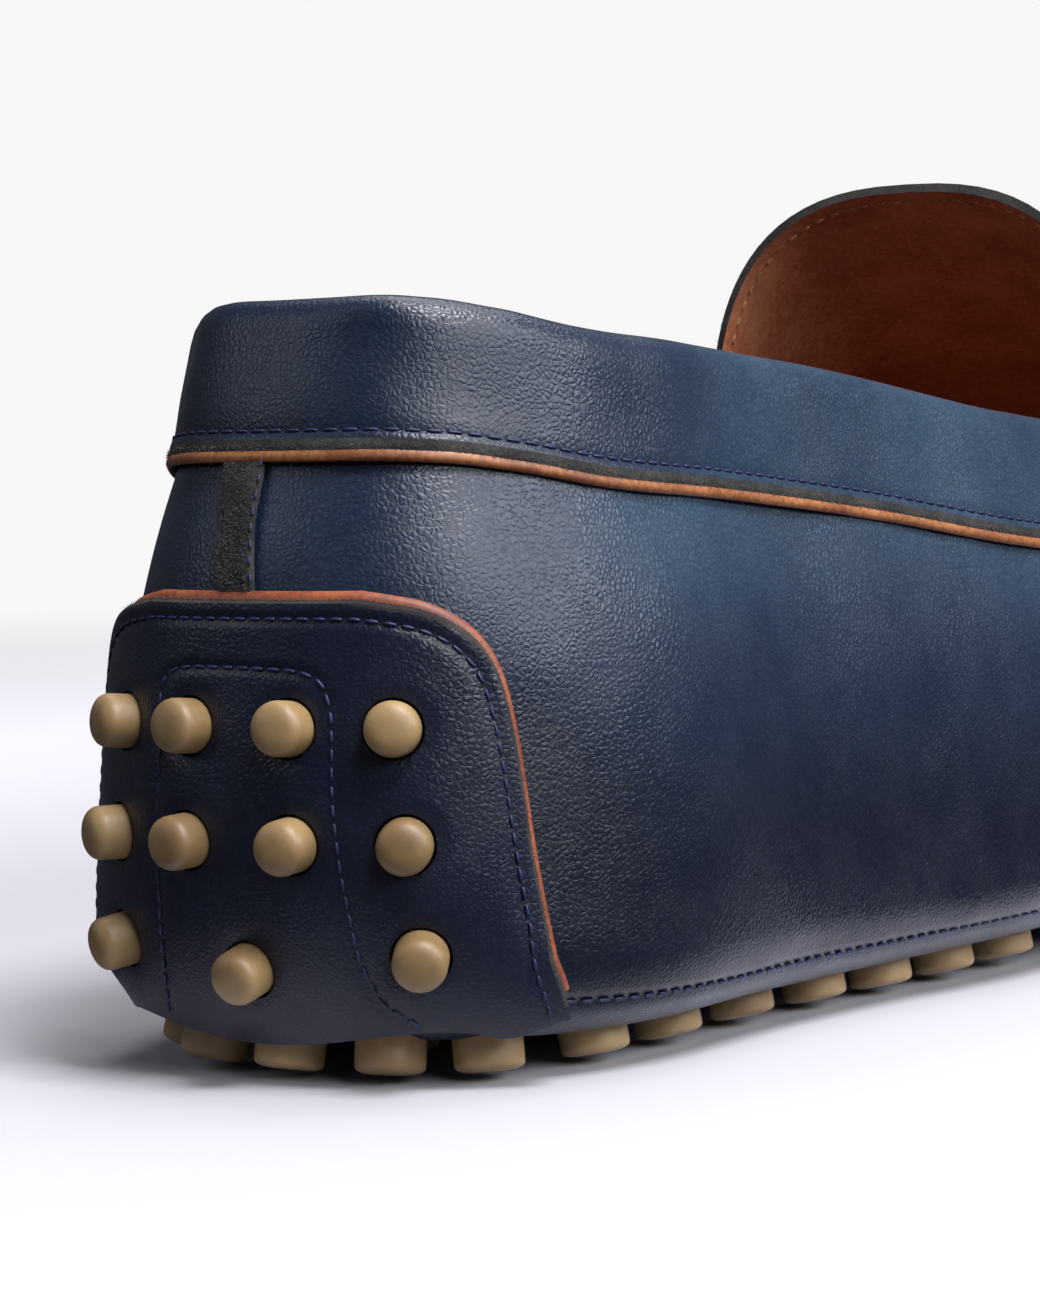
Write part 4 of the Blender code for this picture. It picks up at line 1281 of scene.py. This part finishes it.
def sole_places():
    """Tips and axes of the sole's studs."""
    tips, axes = [], []
    for a in edge_studs():
        s = float(share(a))
        root = underside(a, stud_inset(a))
        axis = np.array([*(plan_out(a) * math.sin(STUD_TILT)), -math.cos(STUD_TILT)])
        end = 0.15 if s < 0.1 else max(floor_z(root[1] / LENGTH) - STUD_HEIGHT, 0.15)
        length = (root[2] - end) / math.cos(STUD_TILT) - STUD_RADIUS * math.tan(STUD_TILT)
        tips.append(root + axis * length)
        axes.append(axis)
    for y, x in inner_studs():
        z = float(floor_z(y / LENGTH))
        end = 0.0 if z < STUD_HEIGHT + 0.7 else z - STUD_HEIGHT
        tips.append(np.array([x + BALL_WIDTH * shift_share(y / LENGTH), y, end]))
        axes.append(np.array([0, 0, -1.0]))
    return np.array(tips), np.array(axes)


bottom = skin(
    "moccasin_bottom", sole_grid(0.0), sole_grid(-BOTTOM_SKIN),
    (CALF, LINING, RAW_EDGE), "upper_calf", lit_and_burnished=0.2,
)
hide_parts("sole_leather")
TIPS, AXES = sole_places()
pierced(bottom, TIPS, AXES, STUD_RADIUS + STUD_GAP, before=2.0, behind=9.0)
treads = rubber_studs("sole_studs_moulded", TIPS, AXES, STUD_RADIUS, length=7.5, dome=1.25, square=4.0)
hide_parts("sole_studs")

seam_a = np.linspace(0, GIRTH, 700)
seam_line = wall(seam_a, SEAM_V)
seam_out = wall(seam_a, SEAM_V, 1.0) - seam_line
stitches(
    "bottom_seam_stitches", wall(seam_a, SEAM_V, -0.22), seam_out, BLUE_THREAD,
    pitch=2.0, length=1.6, thickness=0.42,
)

# ---------------------------------------------------------------- footbed


def footbed_grid(up, inset):
    """Rows across the footbed, that far above the leather's underside and in from its turn."""
    k = np.concatenate([np.linspace(0.06, 8, 40), np.linspace(8.2, STEPS - 0.1, 70)])
    a, b = across(k)
    ends = [underside(x, under_turn(share(x)) - 0.3 + inset) for x in (a, b)]
    row = ends[0][:, None] + (ends[1] - ends[0])[:, None] * np.linspace(0, 1, 21)[None, :, None]
    row[..., 2] = floor_z(row[..., 1] / LENGTH) + up
    return row


footbed = skin(
    "footbed_leather", footbed_grid(FOOTBED_TOP, 0.2), footbed_grid(FOOTBED_UNDER, 0.0),
    (LINING,) * 3, "lining",
)
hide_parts("insole")

# ---------------------------------------------------------------- stage, light and camera


def floor():
    """A pale paper floor, matt and white, that fades at its far edge into the surroundings.

    As light it is white only close under the shoe, so that the leather's lower side keeps its
    depth. near is the distance from the shoe's long middle line, stretched along it.
    """
    half = 3.0
    corners = [(-half, -half, 0), (half, -half, 0), (half, half, 0), (-half, half, 0)]
    mesh = bpy.data.meshes.new("studio_floor")
    mesh.from_pydata(corners, [], [(0, 1, 2, 3)])
    made, tree, shader = finish_of("matte_white_paper", 0.9, Specular_IOR_Level=0.2)
    seen = add(tree, "ShaderNodeLightPath").outputs["Is Camera Ray"]
    place = add(tree, "ShaderNodeTexCoord").outputs["Object"]
    narrow = add(tree, "ShaderNodeVectorMath", {
        0: place, 1: (1.0, 0.35, 0.0), 2: (0.0, -0.035, 0.0),
    }, operation="MULTIPLY_ADD").outputs[0]
    near = add(tree, "ShaderNodeVectorMath", {0: narrow}, operation="LENGTH").outputs["Value"]
    thrown = between(tree, near, 0.042, 0.066, linear("#e4e4ee"), linear("#2c2c36"))
    shown = between(tree, near, 0.12, 0.34, linear("#b3b1b5"), linear("#cfcdd1"))
    colour = add(tree, "ShaderNodeMix", {
        MIX_BY: seen, MIX_A: thrown, MIX_B: shown,
    }, data_type="RGBA").outputs[MIXED]
    middle = add(tree, "ShaderNodeVectorMath", {
        0: place, 1: (0.0, 0.1, 0.0),
    }, operation="DISTANCE").outputs["Value"]
    fade = add(tree, "ShaderNodeMapRange", {
        "Value": middle, "From Min": 0.35, "From Max": 1.1, "To Min": 1.0, "To Max": 0.0,
    }, interpolation_type="SMOOTHSTEP").outputs[0]
    tree.links.new(colour, shader.inputs["Base Color"])
    tree.links.new(fade, shader.inputs["Alpha"])
    mesh.materials.append(made)
    linked("studio_floor", mesh)


def lamp(name, place, target, size, watts, colour):
    """A softbox, its place, target and size in metres."""
    data = bpy.data.lights.new(name, "AREA")
    data.shape, data.size, data.size_y = "RECTANGLE", *size
    data.energy = watts
    data.color = linear(colour)[:3]
    obj = linked(name, data)
    obj.location = place
    obj.rotation_euler = (Vector(target) - Vector(place)).to_track_quat("-Z", "Y").to_euler()


# the photograph's camera, read off the heel's studs and edges: metres, degrees, and its
# focal length in pixels of a picture that is 1300 high
CAMERA_PLACE = (0.20803, -0.33119, 0.06027)
CAMERA_YAW, CAMERA_PITCH, CAMERA_ROLL = 31.393, 3.025, 0.855
FOCAL_PIXELS, PICTURE_HEIGHT, SENSOR = 3791.8, 1300, 36.0


def camera():
    yaw, down, roll = (math.radians(x) for x in (CAMERA_YAW, CAMERA_PITCH, CAMERA_ROLL))
    right = Vector((math.cos(yaw), math.sin(yaw), 0))
    back = Vector((math.sin(yaw) * math.cos(down), -math.cos(yaw) * math.cos(down), math.sin(down)))
    up = back.cross(right)
    x = right * math.cos(roll) - up * math.sin(roll)
    y = right * math.sin(roll) + up * math.cos(roll)
    data = bpy.data.cameras.new("camera")
    data.sensor_width, data.lens = SENSOR, FOCAL_PIXELS * SENSOR / PICTURE_HEIGHT
    data.clip_start, data.clip_end = 0.01, 20
    obj = linked("camera", data)
    turned = Matrix((x, y, back)).transposed().to_4x4()
    obj.matrix_world = Matrix.Translation(CAMERA_PLACE) @ turned
    bpy.context.scene.camera = obj


floor()
camera()
lamp("softbox_right", (0.58, -0.20, 1.05), (0, 0, 0.04), size=(0.5, 0.4), watts=20, colour="#fafaff")
lamp("softbox_low", (0.90, -0.04, 0.50), (0, 0.03, 0.05), size=(1.35, 0.32), watts=12, colour="#f4f7ff")
lamp("softbox_top", (0, 0.5, 1.3), (0, 0.1, 0), size=(1.3, 1.0), watts=16, colour="#fbfbff")
lamp("fill_left", (-0.9, -0.9, 0.8), (0, 0, 0.03), size=(0.8, 0.8), watts=3, colour="#eef1ff")


def surroundings():
    """Pale where the camera looks past the shoe, and dim as light, so that the softboxes model the leather."""
    world = bpy.data.worlds.new("studio")
    world.use_nodes = True
    tree = world.node_tree
    tree.nodes.clear()
    seen = add(tree, "ShaderNodeLightPath").outputs["Is Camera Ray"]
    dim = add(tree, "ShaderNodeBackground", {"Color": linear("#dfe4f4"), "Strength": 0.12}).outputs[0]
    pale = add(tree, "ShaderNodeBackground", {"Color": linear("#f8f8f8"), "Strength": 1.0}).outputs[0]
    both = add(tree, "ShaderNodeMixShader", {0: seen, 1: dim, 2: pale}).outputs[0]
    add(tree, "ShaderNodeOutputWorld", {"Surface": both})
    bpy.context.scene.world = world


surroundings()
bpy.context.scene.view_settings.view_transform = "Standard"

for obj, slot in KEPT.items():
    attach(obj, "root")
